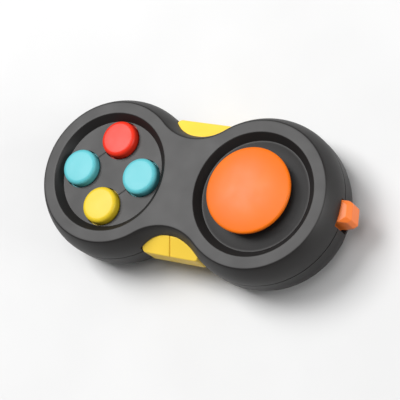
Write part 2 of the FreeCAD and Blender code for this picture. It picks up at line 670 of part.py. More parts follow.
def make_button_base():
    body = new_body("button_base")
    outside = "(" + SCREW_PLACE + " - size.boss_radius - size.base_gap)"
    bore = outside + " - size.base_wall"
    ceiling = "size.base_height - size.base_plate"
    section = [
        (0, ceiling),
        (bore, ceiling),
        (bore, "size.floor_wall"),
        (outside, "size.floor_wall"),
        (outside, "size.base_height"),
        (0, "size.base_height"),
    ]
    revolve(body, "Revolution", turned_sketch(body, "base_section", section))
    guides = new_sketch(body, "stem_guides", "XY_Plane", {"z": "size.base_height"})
    for across, along in BUTTON_PLACES.values():
        add_circle(
            guides, str(across) + " * size.button_pitch" if across else 0,
            str(along) + " * size.button_pitch" if along else 0,
            "size.stem_radius + size.slide_gap",
        )
    extrude(body, "Pocket", guides, "size.base_plate")
    move(body, "-" + HALF_SPACING)
    return body


def make_stick_cap():
    body = new_body("stick_cap")
    socket = "size.post_radius + size.pin_gap"
    crown = "(size.cap_radius * size.cap_radius + size.cap_crown * size.cap_crown) / (2 * size.cap_crown)"
    section = [
        (0, POST_TOP),
        (socket, POST_TOP),
        (socket, BOSS_FOOT),
        ("size.cap_boss_radius", BOSS_FOOT),
        ("size.cap_boss_radius", CAP_FOOT),
        ("size.cap_radius - size.cap_undercut", CAP_FOOT),
        ("size.cap_radius", CAP_EDGE + " - size.cap_edge"),
        ("size.cap_radius", CAP_EDGE, "-(" + crown + ")"),
        (0, CAP_EDGE + " + size.cap_crown"),
    ]
    revolve(body, "Revolution", turned_sketch(body, "cap_section", section))
    soften(
        body, "Fillet", "cap_edge_round", "size.cap_round",
        lambda edge: lies_at(edge, number(CAP_EDGE)),
    )
    move(body, HALF_SPACING)
    return body


def make_stick_post():
    # Ball hub, post and ball skirt in one moulding, all centred on the pivot.
    body = new_body("stick_post")
    offset = {"y": PIVOT}
    inner = "(size.skirt_radius - size.skirt_wall)"
    across = " * sin(size.skirt_angle * 1 deg)"
    height = " * cos(size.skirt_angle * 1 deg)"
    post_at_skirt = "sqrt(" + inner + " * " + inner + " - size.post_radius * size.post_radius)"
    post_at_hub = "sqrt(size.hub_radius * size.hub_radius - size.post_radius * size.post_radius)"
    post_over = "sqrt(size.skirt_radius * size.skirt_radius - size.post_radius * size.post_radius)"
    section = [
        (0, "-size.hub_radius", "-size.hub_radius"),
        ("size.post_radius", post_at_hub),
        ("size.post_radius", post_at_skirt, "size.skirt_radius - size.skirt_wall"),
        (inner + across, inner + height),
        ("size.skirt_radius" + across, "size.skirt_radius" + height, "-size.skirt_radius"),
        ("size.post_radius", post_over),
        ("size.post_radius", POST_TOP + " - " + PIVOT + " - size.pin_inset"),
        (0, POST_TOP + " - " + PIVOT + " - size.pin_inset"),
    ]
    revolve(body, "Revolution", turned_sketch(body, "post_section", section, offset))
    side = {"y": PIVOT, "z": "-2 * size.hub_radius"}
    hole = new_sketch(body, "pin_hole", "XZ_Plane", side)
    add_circle(hole, 0, 0, "size.trunnion_radius + size.slide_gap")
    extrude(body, "Pocket", hole, "4 * size.hub_radius", reverse=True)
    move(body, HALF_SPACING)
    return body


def make_gimbal_ring():
    body = new_body("gimbal_ring")
    low = "(" + PIVOT + " - size.ring_height / 2)"
    top = "(" + PIVOT + " + size.ring_height / 2)"
    section = [
        ("size.ring_inner_radius", low),
        ("size.ring_outer_radius", low),
        ("size.ring_outer_radius", top),
        ("size.ring_inner_radius", top),
    ]
    revolve(body, "Revolution", turned_sketch(body, "ring_section", section))
    for side, reverse in (("", False), ("-", True)):
        name = "trunnion" + ("_left" if reverse else "_right")
        root = {"z": side + "(size.ring_outer_radius - " + str(ROOT) + ")"}
        sketch = new_sketch(body, name, "YZ_Plane", root)
        add_circle(sketch, 0, PIVOT, "size.trunnion_radius")
        extrude(body, "Pad", sketch, "size.trunnion_reach + " + str(ROOT), reverse=reverse)
    far = {"z": "-(size.ring_outer_radius + " + str(PAST) + ")"}
    hole = new_sketch(body, "pin_holes", "XZ_Plane", far)
    add_circle(hole, 0, PIVOT, "size.trunnion_radius + size.pin_gap")
    extrude(body, "Pocket", hole, "2 * (size.ring_outer_radius + " + str(PAST) + ")", reverse=True)
    move(body, HALF_SPACING)
    return body


def make_stick_pin():
    body = new_body("stick_pin")
    half = "(size.ring_outer_radius - size.pin_inset)"
    sketch = new_sketch(body, "stick_pin_end", "XZ_Plane", {"z": "-" + half})
    add_circle(sketch, 0, PIVOT, "size.trunnion_radius")
    extrude(body, "Pad", sketch, "2 * " + half)
    move(body, HALF_SPACING)
    return body


def make_stick_cradle():
    # A cup whose two open slots carry the gimbal's trunnions.
    body = new_body("stick_cradle")
    bore = "(size.ring_outer_radius + size.cradle_gap)"
    section = [
        (bore, "size.floor_wall"),
        (CRADLE_RADIUS, "size.floor_wall"),
        (CRADLE_RADIUS, CRADLE_RIM),
        (bore, CRADLE_RIM),
    ]
    revolve(body, "Revolution", turned_sketch(body, "cradle_section", section))
    half = "(size.trunnion_radius + size.slide_gap)"
    outside = {"z": CRADLE_RADIUS + " + " + str(PAST)}
    seat = new_sketch(body, "trunnion_seats", "YZ_Plane", outside)
    add_circle(seat, 0, PIVOT, half)
    length = "2 * (" + CRADLE_RADIUS + " + " + str(PAST) + ")"
    extrude(body, "Pocket", seat, length)
    slot = new_sketch(body, "trunnion_slots", "YZ_Plane", outside)
    corners = [
        ("-" + half, PIVOT),
        (half, PIVOT),
        (half, CRADLE_RIM + " + " + str(PAST)),
        ("-" + half, CRADLE_RIM + " + " + str(PAST)),
    ]
    add_polygon(slot, corners)
    extrude(body, "Pocket", slot, length)
    move(body, HALF_SPACING)
    return body


def make_stick_spring():
    seat = "size.stick_coil_radius + size.stick_wire"
    inner = "(size.skirt_radius - size.skirt_wall)"
    under = "(" + PIVOT + " + sqrt(" + inner + " * " + inner + " - (" + seat + ") * (" + seat + ")))"
    height = under + " - " + CRADLE_RIM + " - 2 * size.stick_wire - size.pin_gap"
    body = coil(
        "stick_spring", "XZ_Plane", "size.stick_coil_radius", "size.stick_wire",
        "size.stick_coil_pitch", height,
    )
    move(body, HALF_SPACING, "0", CRADLE_RIM)
    return body


def trigger_section(body, label, start):
    # A blunt nose between two slopes, stepped in behind so that only the nose fills the window.
    top = "(size.body_height - size.trigger_edge_drop)"
    face_top = "(size.body_height - size.trigger_face_drop)"
    step = "(" + TRIGGER_EDGE + " - size.trigger_neck)"
    step_top = "(" + top + " - size.trigger_neck_drop)"
    step_low = "(size.trigger_edge_drop + size.trigger_neck_drop)"
    corners = [
        ("-" + TRIGGER_BACK, step_top),
        ("-" + step, step_top),
        ("-" + TRIGGER_EDGE, top),
        ("-" + TRIGGER_FACE, face_top),
        ("-" + TRIGGER_FACE, "size.trigger_face_drop"),
        ("-" + TRIGGER_EDGE, "size.trigger_edge_drop"),
        ("-" + step, step_low),
        ("-" + TRIGGER_BACK, step_low),
    ]
    sketch = new_sketch(body, label + "_section", "YZ_Plane", {"z": start})
    add_polygon(sketch, corners)
    return sketch


def round_trigger(body, label):
    face = -number(TRIGGER_FACE)
    half = number("size.trigger_half")

    def is_end(edge):
        box = edge.BoundBox
        upright = box.ZLength > 1 and box.XLength < 0.01 and box.YLength < 0.01
        return upright and abs(box.YMin - face) < 0.01 and abs(abs(box.XMin) - half) < 0.01

    def is_long_edge(edge):
        box = edge.BoundBox
        return abs(box.YMin - face) < 0.01 and box.XLength > 0.2 and box.ZLength < 0.01

    soften(body, "Fillet", label + "_corners", "size.trigger_corner", is_end)
    soften(body, "Fillet", label + "_edges", "size.trigger_edge_round", is_long_edge)


def make_trigger(label, start, end, sides):
    # Made facing -Y with its guide rods along +Y, from start to end along X. Each side, "" to the
    # right and "-" to the left, has an ear that holds the trigger in and a rod that guides it.
    body = new_body(label)
    extrude(body, "Pad", trigger_section(body, label, start), end + " - " + start)
    round_trigger(body, label)
    low = MID_HEIGHT + " - size.ear_height / 2"
    root = "(size.trigger_half - " + str(ROOT) + ")"
    tip = "(size.trigger_half + size.ear_reach)"
    behind = "(" + TRIGGER_BACK + " + " + str(ROOT) + ")"
    for side in sides:
        name = label + ("_left" if side else "_right")
        ear = new_sketch(body, name + "_ear", "XY_Plane", {"z": low})
        outline = [
            (side + root, "-" + EAR_OUTER),
            (side + tip, "-" + EAR_OUTER),
            (side + tip, "-" + EAR_INNER),
            (side + root, "-" + EAR_INNER),
        ]
        add_polygon(ear, outline)
        extrude(body, "Pad", ear, "size.ear_height")
        rod = new_sketch(body, name + "_rod", "XZ_Plane", {"z": behind})
        add_circle(rod, side + "size.guide_place", MID_HEIGHT, "size.guide_radius")
        extrude(body, "Pad", rod, behind + " - size.guide_end", reverse=True)
    return body


def make_trigger_spring(label, across, back):
    free = TRIGGER_BACK + " - size.rail_half_width - 2 * size.trigger_wire"
    body = coil(
        label, "XZ_Plane", "size.trigger_coil_radius", "size.trigger_wire",
        "size.trigger_coil_pitch", free,
    )
    turn = -90 if back else 90
    body.Placement.Rotation = FreeCAD.Rotation(FreeCAD.Vector(1, 0, 0), turn)
    side = "" if back else "-"
    move(body, across + "size.guide_place", side + "size.rail_half_width", MID_HEIGHT)
    return body


def make_trigger_rail():
    body = new_body("trigger_rail")
    sketch = new_sketch(body, "rail_plan", "XY_Plane", {"z": "size.floor_wall"})
    corners = [
        ("-size.rail_half_length", "-size.rail_half_width"),
        ("size.rail_half_length", "-size.rail_half_width"),
        ("size.rail_half_length", "size.rail_half_width"),
        ("-size.rail_half_length", "size.rail_half_width"),
    ]
    add_polygon(sketch, corners)
    extrude(body, "Pad", sketch, MID_HEIGHT + " + size.rail_cover - size.floor_wall")
    for side, reverse in (("", False), ("-", True)):
        name = "rod_bores" + ("_back" if reverse else "_front")
        bores = new_sketch(body, name, "XZ_Plane", {"z": side + "size.rail_half_width"})
        for place in ("", "-"):
            add_circle(bores, place + "size.guide_place", MID_HEIGHT, "size.guide_radius + size.slide_gap")
        extrude(body, "Pocket", bores, "size.rail_half_width - size.rail_web", reverse=reverse)
    return body


def make_flip_switch():
    # The lever lies along its own +X from its pivot; its placement leans it to its stop.
    body = new_body("flip_switch")
    sketch = new_sketch(body, "lever_plan", "XY_Plane", {"z": "-size.switch_height / 2"})
    bevel_start = "size.switch_length - size.switch_bevel"
    hub = "size.switch_hub_radius"
    nose_start = "sqrt(" + hub + " * " + hub + " - size.switch_half * size.switch_half)"
    corners = [
        (nose_start, "-size.switch_half"),
        (bevel_start, "-size.switch_half"),
        ("size.switch_length", "-size.switch_tip_half"),
        ("size.switch_length", "size.switch_tip_half"),
        (bevel_start, "size.switch_half"),
        (nose_start, "size.switch_half", "-" + hub),
        ("-" + hub, 0, "-" + hub),
    ]
    add_polygon(sketch, corners)
    extrude(body, "Pad", sketch, "size.switch_height")
    start = number(bevel_start)

    def is_tip(edge):
        return edge.BoundBox.XMin > start - 0.01 and edge.BoundBox.ZLength < 0.01

    soften(body, "Chamfer", "lever_bevel", "size.switch_bevel", is_tip)
    bore = new_sketch(body, "lever_bore", "XY_Plane", {"z": "size.switch_height / 2"})
    add_circle(bore, 0, 0, "size.switch_pin_radius + size.slide_gap")
    extrude(body, "Pocket", bore, "size.switch_height")
    body.setExpression("Placement.Rotation.Angle", "size.switch_throw")
    move(body, SWITCH_X, "0", MID_HEIGHT)
    return body


def make_switch_pin():
    body = new_body("switch_pin")
    low = "(size.pin_end_wall + size.pin_gap)"
    sketch = new_sketch(body, "switch_pin_end", "XY_Plane", {"z": low})
    add_circle(sketch, 0, 0, "size.switch_pin_radius")
    extrude(body, "Pad", sketch, PLATE_UNDER + " - size.pin_gap - " + low)
    move(body, SWITCH_X)
    return body


def make_switch_leaf():
    leaf = doc.addObject("Part::Box", "switch_leaf")
    leaf.Label = "switch_leaf"
    leaf.setExpression("Length", "size.leaf_wall")
    leaf.setExpression("Width", "2 * size.leaf_half")
    leaf.setExpression("Height", "size.leaf_height")
    foot = MID_HEIGHT + " - size.leaf_height / 2"
    move(leaf, LEAF_X + " - size.leaf_wall / 2", "-size.leaf_half", foot)
    return leaf


def make_screws():
    # One sunk cross-head screw, mirrored to the four corners.
    screw = new_body("one_screw")
    tip = SCREW_SEAT + " + size.screw_length"
    section = [
        (0, "size.screw_sink"),
        ("size.screw_head_radius", "size.screw_sink"),
        ("size.screw_head_radius", SCREW_SEAT),
        ("size.screw_radius", SCREW_SEAT),
        ("size.screw_radius", tip),
        (0, tip),
    ]
    revolve(screw, "Revolution", turned_sketch(screw, "screw_section", section))
    reach = "size.screw_slot_reach"
    arm = "size.screw_slot"
    for name, across, up in (("long_slot", reach, arm), ("cross_slot", arm, reach)):
        slot = new_sketch(screw, name, "XY_Plane", {"z": "size.screw_sink"})
        add_strip(slot, "0", across, "-" + up, up)
        extrude(screw, "Pocket", slot, "size.screw_slot_depth", reverse=True)
    copies = []
    for across in ("", "-"):
        for along in ("", "-"):
            copy = doc.addObject("Part::Feature", "screw_copy")
            copy.Shape = screw.Shape
            move(copy, across + SCREW_X, along + SCREW_Y)
            copies.append(copy)
    group = doc.addObject("Part::Compound", "housing_screws")
    group.Label = "housing_screws"
    group.Links = copies
    return group


def make_back_springs():
    right = make_trigger_spring("back_spring_right", "", True)
    left = make_trigger_spring("back_spring_left", "-", True)
    group = doc.addObject("Part::Compound", "trigger_springs_back")
    group.Label = "trigger_springs_back"
    group.Links = [right, left]
    return group


def build():
    parts = [make_top_shell(), make_bottom_shell(), make_button_base()]
    for label, place in BUTTON_PLACES.items():
        parts.append(make_button(label, place))
        parts.append(make_button_spring(label.replace("button", "button_spring"), place))
    parts += [
        make_stick_cap(), make_stick_post(), make_gimbal_ring(),
        make_stick_pin(), make_stick_cradle(), make_stick_spring(),
    ]
    seam = "size.trigger_seam / 2"
    end = "size.trigger_half"
    parts.append(make_trigger("trigger_front_left", "-" + end, "-" + seam, ["-"]))
    parts.append(make_trigger("trigger_front_right", seam, end, [""]))
    back = make_trigger("trigger_back", "-" + end, end, ["", "-"])
    back.Placement.Rotation = FreeCAD.Rotation(FreeCAD.Vector(0, 0, 1), 180)
    parts.append(back)
    parts.append(make_trigger_spring("trigger_spring_front_left", "-", False))
    parts.append(make_trigger_spring("trigger_spring_front_right", "", False))
    parts += [
        make_back_springs(), make_trigger_rail(), make_flip_switch(),
        make_switch_pin(), make_switch_leaf(), make_screws(),
    ]
    return parts


def check(parts):
    for item in doc.Objects:
        if "Invalid" in item.State or "Error" in item.State:
            raise RuntimeError(item.Label + " failed: " + str(item.State))
    for item in parts:
        if item.Shape.isNull() or not item.Shape.isValid():
            raise RuntimeError(item.Label + " has no valid shape")


subParts = build()
doc.recompute()
check(subParts)
os.makedirs("parts", exist_ok=True)
for item in subParts:
    item.Shape.exportStep("parts/" + item.Label + ".step")
    box = item.Shape.BoundBox
    low = [round(value, 2) for value in (box.XMin, box.YMin, box.ZMin)]
    high = [round(value, 2) for value in (box.XMax, box.YMax, box.ZMax)]
    print(item.Label, round(item.Shape.Volume, 1), low, high)
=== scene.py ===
import bmesh
import bpy
import json
import math
from mathutils import Matrix, Quaternion, Vector


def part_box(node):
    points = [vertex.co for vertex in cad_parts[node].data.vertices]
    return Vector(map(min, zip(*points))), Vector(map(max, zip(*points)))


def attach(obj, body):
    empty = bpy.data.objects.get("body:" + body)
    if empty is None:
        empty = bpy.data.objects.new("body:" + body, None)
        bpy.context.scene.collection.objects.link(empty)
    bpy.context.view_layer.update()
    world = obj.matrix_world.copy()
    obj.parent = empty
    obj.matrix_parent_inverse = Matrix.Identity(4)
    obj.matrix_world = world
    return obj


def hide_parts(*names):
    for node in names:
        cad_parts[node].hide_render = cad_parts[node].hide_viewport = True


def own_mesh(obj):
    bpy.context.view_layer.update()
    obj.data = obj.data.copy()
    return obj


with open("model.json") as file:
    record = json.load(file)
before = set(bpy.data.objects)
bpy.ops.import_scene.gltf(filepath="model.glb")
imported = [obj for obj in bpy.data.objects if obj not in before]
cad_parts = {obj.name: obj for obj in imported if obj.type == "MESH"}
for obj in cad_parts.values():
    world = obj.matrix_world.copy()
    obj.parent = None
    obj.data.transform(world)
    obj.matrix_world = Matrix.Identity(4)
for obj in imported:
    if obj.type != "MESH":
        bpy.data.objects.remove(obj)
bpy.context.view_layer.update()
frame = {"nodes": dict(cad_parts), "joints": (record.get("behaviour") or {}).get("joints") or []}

mm = 0.001  # meshes are modelled in millimetres and made metres when they are finished
near = {
    # how close counts as the same place, in millimetres
    "ring": 0.005,
    "level": 0.001,
    "corner": 0.01,
    "merge": 0.0005,
    "wallRing": 0.00001,
    "wallMerge": 0.001,
    "springMerge": 0.0001,
}
print("frame loaded:", len(frame["nodes"]), "nodes")


# ---- camera

view = {
    "azimuth": 66.41,  # degrees round from the -Y side
    "elevation": 59.43,
    "roll": -53.93,  # the long axis runs down to the right in the frame
    "distance": 0.3227,
    "target": (0.0069, -0.0035, 0.017),
    "lens": 124.8,
}


def makeCamera():
    turn = math.radians(view["azimuth"])
    rise = math.radians(view["elevation"])
    back = Vector((math.sin(turn) * math.cos(rise), -math.cos(turn) * math.cos(rise), math.sin(rise)))
    camera = bpy.data.objects.new("camera", bpy.data.cameras.new("camera"))
    camera.data.lens = view["lens"]
    camera.data.sensor_width = 36
    camera.data.clip_start = 0.01
    camera.location = Vector(view["target"]) + back * view["distance"]
    camera.rotation_mode = "QUATERNION"
    roll = Quaternion((0, 0, 1), math.radians(view["roll"]))
    camera.rotation_quaternion = (-back).to_track_quat("-Z", "Y") @ roll
    bpy.context.scene.collection.objects.link(camera)
    bpy.context.scene.camera = camera


makeCamera()
print("camera placed")


# ---- materials

def colour(code):
    # sRGB hex to linear RGBA
    parts = [int(code[place:place + 2], 16) / 255 for place in (0, 2, 4)]
    return [part / 12.92 if part < 0.04045 else ((part + 0.055) / 1.055) ** 2.4 for part in parts] + [1]


def perMetre(size):
    # noise scale whose features are this many millimetres across
    return 1 / (size * mm)


def addNode(tree, kind, settings, links):
    # settings go to the sockets of that name or number, or else to the node; links are socket: source
    node = tree.nodes.new(kind)
    for name, value in settings.items():
        if isinstance(name, int) or name in node.inputs:
            node.inputs[name].default_value = value
        else:
            setattr(node, name, value)
    for name, source in links.items():
        tree.links.new(source, node.inputs[name])
    return node


def newMaterial(name):
    material = bpy.data.materials.new(name)
    material.use_nodes = True
    tree = material.node_tree
    shader = tree.nodes["Principled BSDF"]
    place = addNode(tree, "ShaderNodeTexCoord", {}, {}).outputs["Object"]
    return material, tree, shader, place


def setShader(shader, settings):
    for name, value in settings.items():
        shader.inputs[name].default_value = value


# noise gathers round a half, so a map range draws out the middle of its range
noiseMiddle = {"From Min": 0.3, "From Max": 0.7}
# a colour mix's own sockets, which share their names with others
mixed = {"first": 6, "second": 7, "result": 2}


def weldLine(tree, place, middle, angle, halfLength, halfWidth):
    # a straight hairline round its own middle, 1 on the line and 0 off it
    turned = addNode(tree, "ShaderNodeMapping", {
        "vector_type": "TEXTURE",
        "Location": [value * mm for value in middle],
        "Rotation": (0, 0, math.radians(angle)),
    }, {"Vector": place})
    axes = addNode(tree, "ShaderNodeSeparateXYZ", {}, {"Vector": turned.outputs["Vector"]})
    mask = None
    for axis, half in (("X", halfLength), ("Y", halfWidth), ("Z", halfWidth)):
        size = addNode(tree, "ShaderNodeMath", {"operation": "ABSOLUTE"}, {0: axes.outputs[axis]})
        inside = addNode(tree, "ShaderNodeMapRange", {
            "interpolation_type": "SMOOTHSTEP",
            "From Min": half * mm,
            "From Max": half * mm * 0.5,
        }, {"Value": size.outputs[0]}).outputs["Result"]
        if mask:
            both = {0: mask, 1: inside}
            inside = addNode(tree, "ShaderNodeMath", {"operation": "MULTIPLY"}, both).outputs[0]
        mask = inside
    return mask


def mouldedPlastic(name, look, welds=()):
    # grain in the bump, cloudy gloss where the melt cooled, and a little colour drift
    material, tree, shader, place = newMaterial(name)
    patches = addNode(tree, "ShaderNodeTexNoise", {
        "Scale": perMetre(look["driftSize"]),
        "Detail": 2,
    }, {"Vector": place})
    drift = addNode(tree, "ShaderNodeMapRange", noiseMiddle, {"Value": patches.outputs["Fac"]})
    base = addNode(tree, "ShaderNodeMix", {
        "data_type": "RGBA",
        mixed["first"]: colour(look["colour"]),
        mixed["second"]: colour(look["driftColour"]),
    }, {"Factor": drift.outputs["Result"]}).outputs[mixed["result"]]
    grain = addNode(tree, "ShaderNodeTexNoise", {
        "Scale": perMetre(look["grainSize"]),
        "Detail": 3,
        "Roughness": 0.6,
    }, {"Vector": place})
    cloud = addNode(tree, "ShaderNodeTexNoise", {
        "Scale": perMetre(look["cloudSize"]),
        "Detail": 3,
    }, {"Vector": place})
    gloss = addNode(tree, "ShaderNodeMapRange", noiseMiddle | {
        "To Min": look["roughness"] - look["cloud"],
        "To Max": look["roughness"] + look["cloud"],
    }, {"Value": cloud.outputs["Fac"]}).outputs["Result"]
    height = grain.outputs["Fac"]
    for weld in welds:
        line = weldLine(tree, place, *weld)
        base = addNode(tree, "ShaderNodeMix", {
            "data_type": "RGBA",
            mixed["second"]: colour(look["weldColour"]),
        }, {"Factor": line, mixed["first"]: base}).outputs[mixed["result"]]
        less = addNode(tree, "ShaderNodeMath", {"operation": "SUBTRACT"}, {0: height, 1: line})
        height = less.outputs[0]
        duller = addNode(tree, "ShaderNodeMath", {"operation": "ADD"}, {0: gloss, 1: line})
        gloss = duller.outputs[0]
    bump = addNode(tree, "ShaderNodeBump", {
        "Strength": look["grainStrength"],
        "Distance": look["grainDepth"] * mm,
    }, {"Height": height})
    setShader(shader, {"IOR": look["ior"], "Specular IOR Level": look["specular"]})
    tree.links.new(base, shader.inputs["Base Color"])
    tree.links.new(gloss, shader.inputs["Roughness"])
    tree.links.new(bump.outputs["Normal"], shader.inputs["Normal"])
    return material


# Black ABS moulded in a spark-eroded tool: an even satin that turns grey under the lamp.
blackAbsLook = {
    "colour": "1b1918",
    "driftColour": "171515",
    "driftSize": 14.0,
    "weldColour": "0c0c0d",
    "roughness": 0.5,
    "cloud": 0.02,
    "cloudSize": 6.0,
    "grainSize": 0.22,  # sparks leave pits of about 0.05 mm, drawn coarser so that they show
    "grainStrength": 0.12,
    "grainDepth": 0.02,
    "ior": 1.54,
    "specular": 0.35,
}

# Black ABS from a plainly milled tool: hidden pieces, darker and smoother.
innerAbsLook = blackAbsLook | {
    "colour": "131212",
    "driftColour": "100f0f",
    "roughness": 0.38,
    "grainStrength": 0.06,
}


def brightAbsLook(code, driftCode, roughness=0.36):
    # Pigmented ABS from a fine-ground tool: full colour with a soft, slightly waxy shine.
    return {
        "colour": code,
        "driftColour": driftCode,
        "driftSize": 9.0,
        "roughness": roughness,
        "cloud": 0.03,
        "cloudSize": 3.0,
        "grainSize": 0.3,
        "grainStrength": 0.05,
        "grainDepth": 0.015,
        "ior": 1.54,
        "specular": 0.17,
    }


def drawnWire(name):
    # Spring steel, drawn through a die: bright, with a fine scuffing that breaks the shine.
    material, tree, shader, place = newMaterial(name)
    score = addNode(tree, "ShaderNodeTexNoise", {
        "Scale": perMetre(0.12),
        "Detail": 4,
        "Roughness": 0.7,
    }, {"Vector": place}).outputs["Fac"]
    share = addNode(tree, "ShaderNodeMapRange", noiseMiddle, {"Value": score})
    base = addNode(tree, "ShaderNodeMix", {
        "data_type": "RGBA",
        mixed["first"]: colour("b9b9b7"),
        mixed["second"]: colour("8f8f90"),
    }, {"Factor": share.outputs["Result"]})
    gloss = addNode(tree, "ShaderNodeMapRange", noiseMiddle | {
        "To Min": 0.22,
        "To Max": 0.36,
    }, {"Value": score})
    bump = addNode(tree, "ShaderNodeBump", {
        "Strength": 0.15,
        "Distance": 0.01 * mm,
    }, {"Height": score})
    tree.links.new(base.outputs[mixed["result"]], shader.inputs["Base Color"])
    tree.links.new(gloss.outputs["Result"], shader.inputs["Roughness"])
    tree.links.new(bump.outputs["Normal"], shader.inputs["Normal"])
    setShader(shader, {"Metallic": 1})
    return material


def zincPlate(name):
    # Carbon steel, bright zinc plated and passivated: pale grey with a faint blue and tiny spangle.
    material, tree, shader, place = newMaterial(name)
    spangle = addNode(tree, "ShaderNodeTexVoronoi", {"Scale": perMetre(0.25)}, {"Vector": place})
    tint = addNode(tree, "ShaderNodeTexNoise", {
        "Scale": perMetre(0.8),
        "Detail": 3,
    }, {"Vector": place})
    share = addNode(tree, "ShaderNodeMapRange", noiseMiddle, {"Value": tint.outputs["Fac"]})
    base = addNode(tree, "ShaderNodeMix", {
        "data_type": "RGBA",
        mixed["first"]: colour("c2c5ca"),
        mixed["second"]: colour("a3a9b4"),
    }, {"Factor": share.outputs["Result"]})
    gloss = addNode(tree, "ShaderNodeMapRange", {
        "From Max": 0.8,
        "To Min": 0.25,
        "To Max": 0.4,
    }, {"Value": spangle.outputs["Distance"]})
    bump = addNode(tree, "ShaderNodeBump", {
        "Strength": 0.1,
        "Distance": 0.01 * mm,
    }, {"Height": spangle.outputs["Distance"]})
    tree.links.new(base.outputs[mixed["result"]], shader.inputs["Base Color"])
    tree.links.new(gloss.outputs["Result"], shader.inputs["Roughness"])
    tree.links.new(bump.outputs["Normal"], shader.inputs["Normal"])
    setShader(shader, {"Metallic": 1})
    return material


def paleFloor(name):
    # Matt laminate sheet, pale grey, with the faintest mottle.
    material, tree, shader, place = newMaterial(name)
    cloud = addNode(tree, "ShaderNodeTexNoise", {
        "Scale": perMetre(40),
        "Detail": 3,
    }, {"Vector": place})
    mottle = addNode(tree, "ShaderNodeMapRange", noiseMiddle, {"Value": cloud.outputs["Fac"]})
    base = addNode(tree, "ShaderNodeMix", {
        "data_type": "RGBA",
        mixed["first"]: colour("d0d0d0"),
        mixed["second"]: colour("cdcdcd"),
    }, {"Factor": mottle.outputs["Result"]})
    gloss = addNode(tree, "ShaderNodeMapRange", noiseMiddle | {
        "To Min": 0.75,
        "To Max": 0.85,
    }, {"Value": mottle.outputs["Result"]})
    tree.links.new(base.outputs[mixed["result"]], shader.inputs["Base Color"])
    tree.links.new(gloss.outputs["Result"], shader.inputs["Roughness"])
    return material


# ---- places read from the frame

def middleOf(node):
    low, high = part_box(node)
    return (low + high) / 2 / mm


def topOf(node):
    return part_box(node)[1].z / mm


buttonNames = ("button_teal_right", "button_red", "button_teal_left", "button_yellow")
buttonPlaces = {name: middleOf(name) for name in buttonNames}
buttonAxis = Vector((middleOf("button_base").x, 0, 0))
stickAxis = Vector((middleOf("stick_cap").x, 0, 0))
halfSpacing = stickAxis.x
padTop = topOf("top_shell")

skirtSlope = {
    "lobeRadius": 17.85,  # at the flat faces
    "waist": 10.95,  # half width of the waist at the flat faces
    "flare": ((0.3, 0.3), (1.6, 3.0), (2.3, 6.8)),  # how far the side stands out, and below the face
    "steps": 9,
    "lobeSteps": 132,
    "baySteps": 40,
}
bayRadius = (halfSpacing ** 2 + skirtSlope["waist"] ** 2 - skirtSlope["lobeRadius"] ** 2) / (
    2 * (skirtSlope["lobeRadius"] - skirtSlope["waist"])
)
bayCentre = skirtSlope["waist"] + bayRadius


# ---- mesh helpers

def spinProfile(mesh, profile, centre, steps):
    # turns a half section of (radius, height) pairs about an upright axis
    verts = [mesh.verts.new((centre.x + radius, centre.y, height)) for radius, height in profile]
    edges = [mesh.edges.new(pair) for pair in zip(verts, verts[1:])]
    bmesh.ops.spin(
        mesh, geom=verts + edges, cent=(centre.x, centre.y, 0), axis=(0, 0, 1), dvec=(0, 0, 0),
        angle=math.tau, steps=steps, use_merge=True, use_duplicate=False,
    )


def arc(start, end, radius, steps):
    # the points between two ends of an arc that bows to the left of its direction
    start, end = Vector(start), Vector(end)
    chord = end - start
    left = Vector((-chord.y, chord.x)).normalized()
    centre = (start + end) / 2 - left * math.sqrt(radius ** 2 - chord.length_squared / 4)
    first, last = start - centre, end - centre
    sweep = first.angle_signed(last)
    points = []
    for step in range(1, steps):
        turn = -sweep * step / steps
        points.append(tuple(centre + Matrix.Rotation(turn, 2) @ first))
    return points


def ringAt(mesh, centre, radius, height):
    # the edges of one turned ring
    def onRing(vert):
        away = math.hypot(vert.co.x - centre.x, vert.co.y - centre.y)
        return abs(away - radius) < near["ring"] and abs(vert.co.z - height) < near["ring"]
    return [edge for edge in mesh.edges if all(onRing(vert) for vert in edge.verts)]


def soften(mesh, edges, offset, segments=4):
    bmesh.ops.bevel(
        mesh, geom=edges, offset=offset, offset_type="OFFSET", affect="EDGES",
        segments=segments, profile=0.5, material=-1, clamp_overlap=True,
    )


def sharpEdges(mesh, angle, wanted=lambda edge: True):
    limit = math.radians(angle)
    return [
        edge for edge in mesh.edges
        if len(edge.link_faces) == 2 and edge.calc_face_angle() > limit and wanted(edge)
    ]


def fillLevel(mesh, height):
    # closes a flat face between all the open rims at one height
    rims = [
        edge for edge in mesh.edges
        if edge.is_boundary and all(abs(vert.co.z - height) < near["level"] for vert in edge.verts)
    ]
    bmesh.ops.triangle_fill(mesh, use_beauty=True, use_dissolve=False, edges=rims, normal=(0, 0, 1))


def prism(mesh, corners, start, end, along="X"):
    # a polygon of (y, z) corners drawn along X, or of (x, y) corners drawn up Z
    if along == "X":
        verts = [mesh.verts.new((start, first, second)) for first, second in corners]
        way = Vector((end - start, 0, 0))
    else:
        verts = [mesh.verts.new((first, second, start)) for first, second in corners]
        way = Vector((0, 0, end - start))
    face = mesh.faces.new(verts)
    made = bmesh.ops.extrude_face_region(mesh, geom=[face])["geom"]
    moved = [item for item in made if isinstance(item, bmesh.types.BMVert)]
    bmesh.ops.translate(mesh, vec=way, verts=moved)
    bmesh.ops.recalc_face_normals(mesh, faces=mesh.faces)


def toMesh(mesh, name):
    bmesh.ops.remove_doubles(mesh, verts=mesh.verts, dist=near["merge"])
    bmesh.ops.recalc_face_normals(mesh, faces=mesh.faces)
    data = bpy.data.meshes.new(name)
    mesh.to_mesh(data)
    mesh.free()
    return data


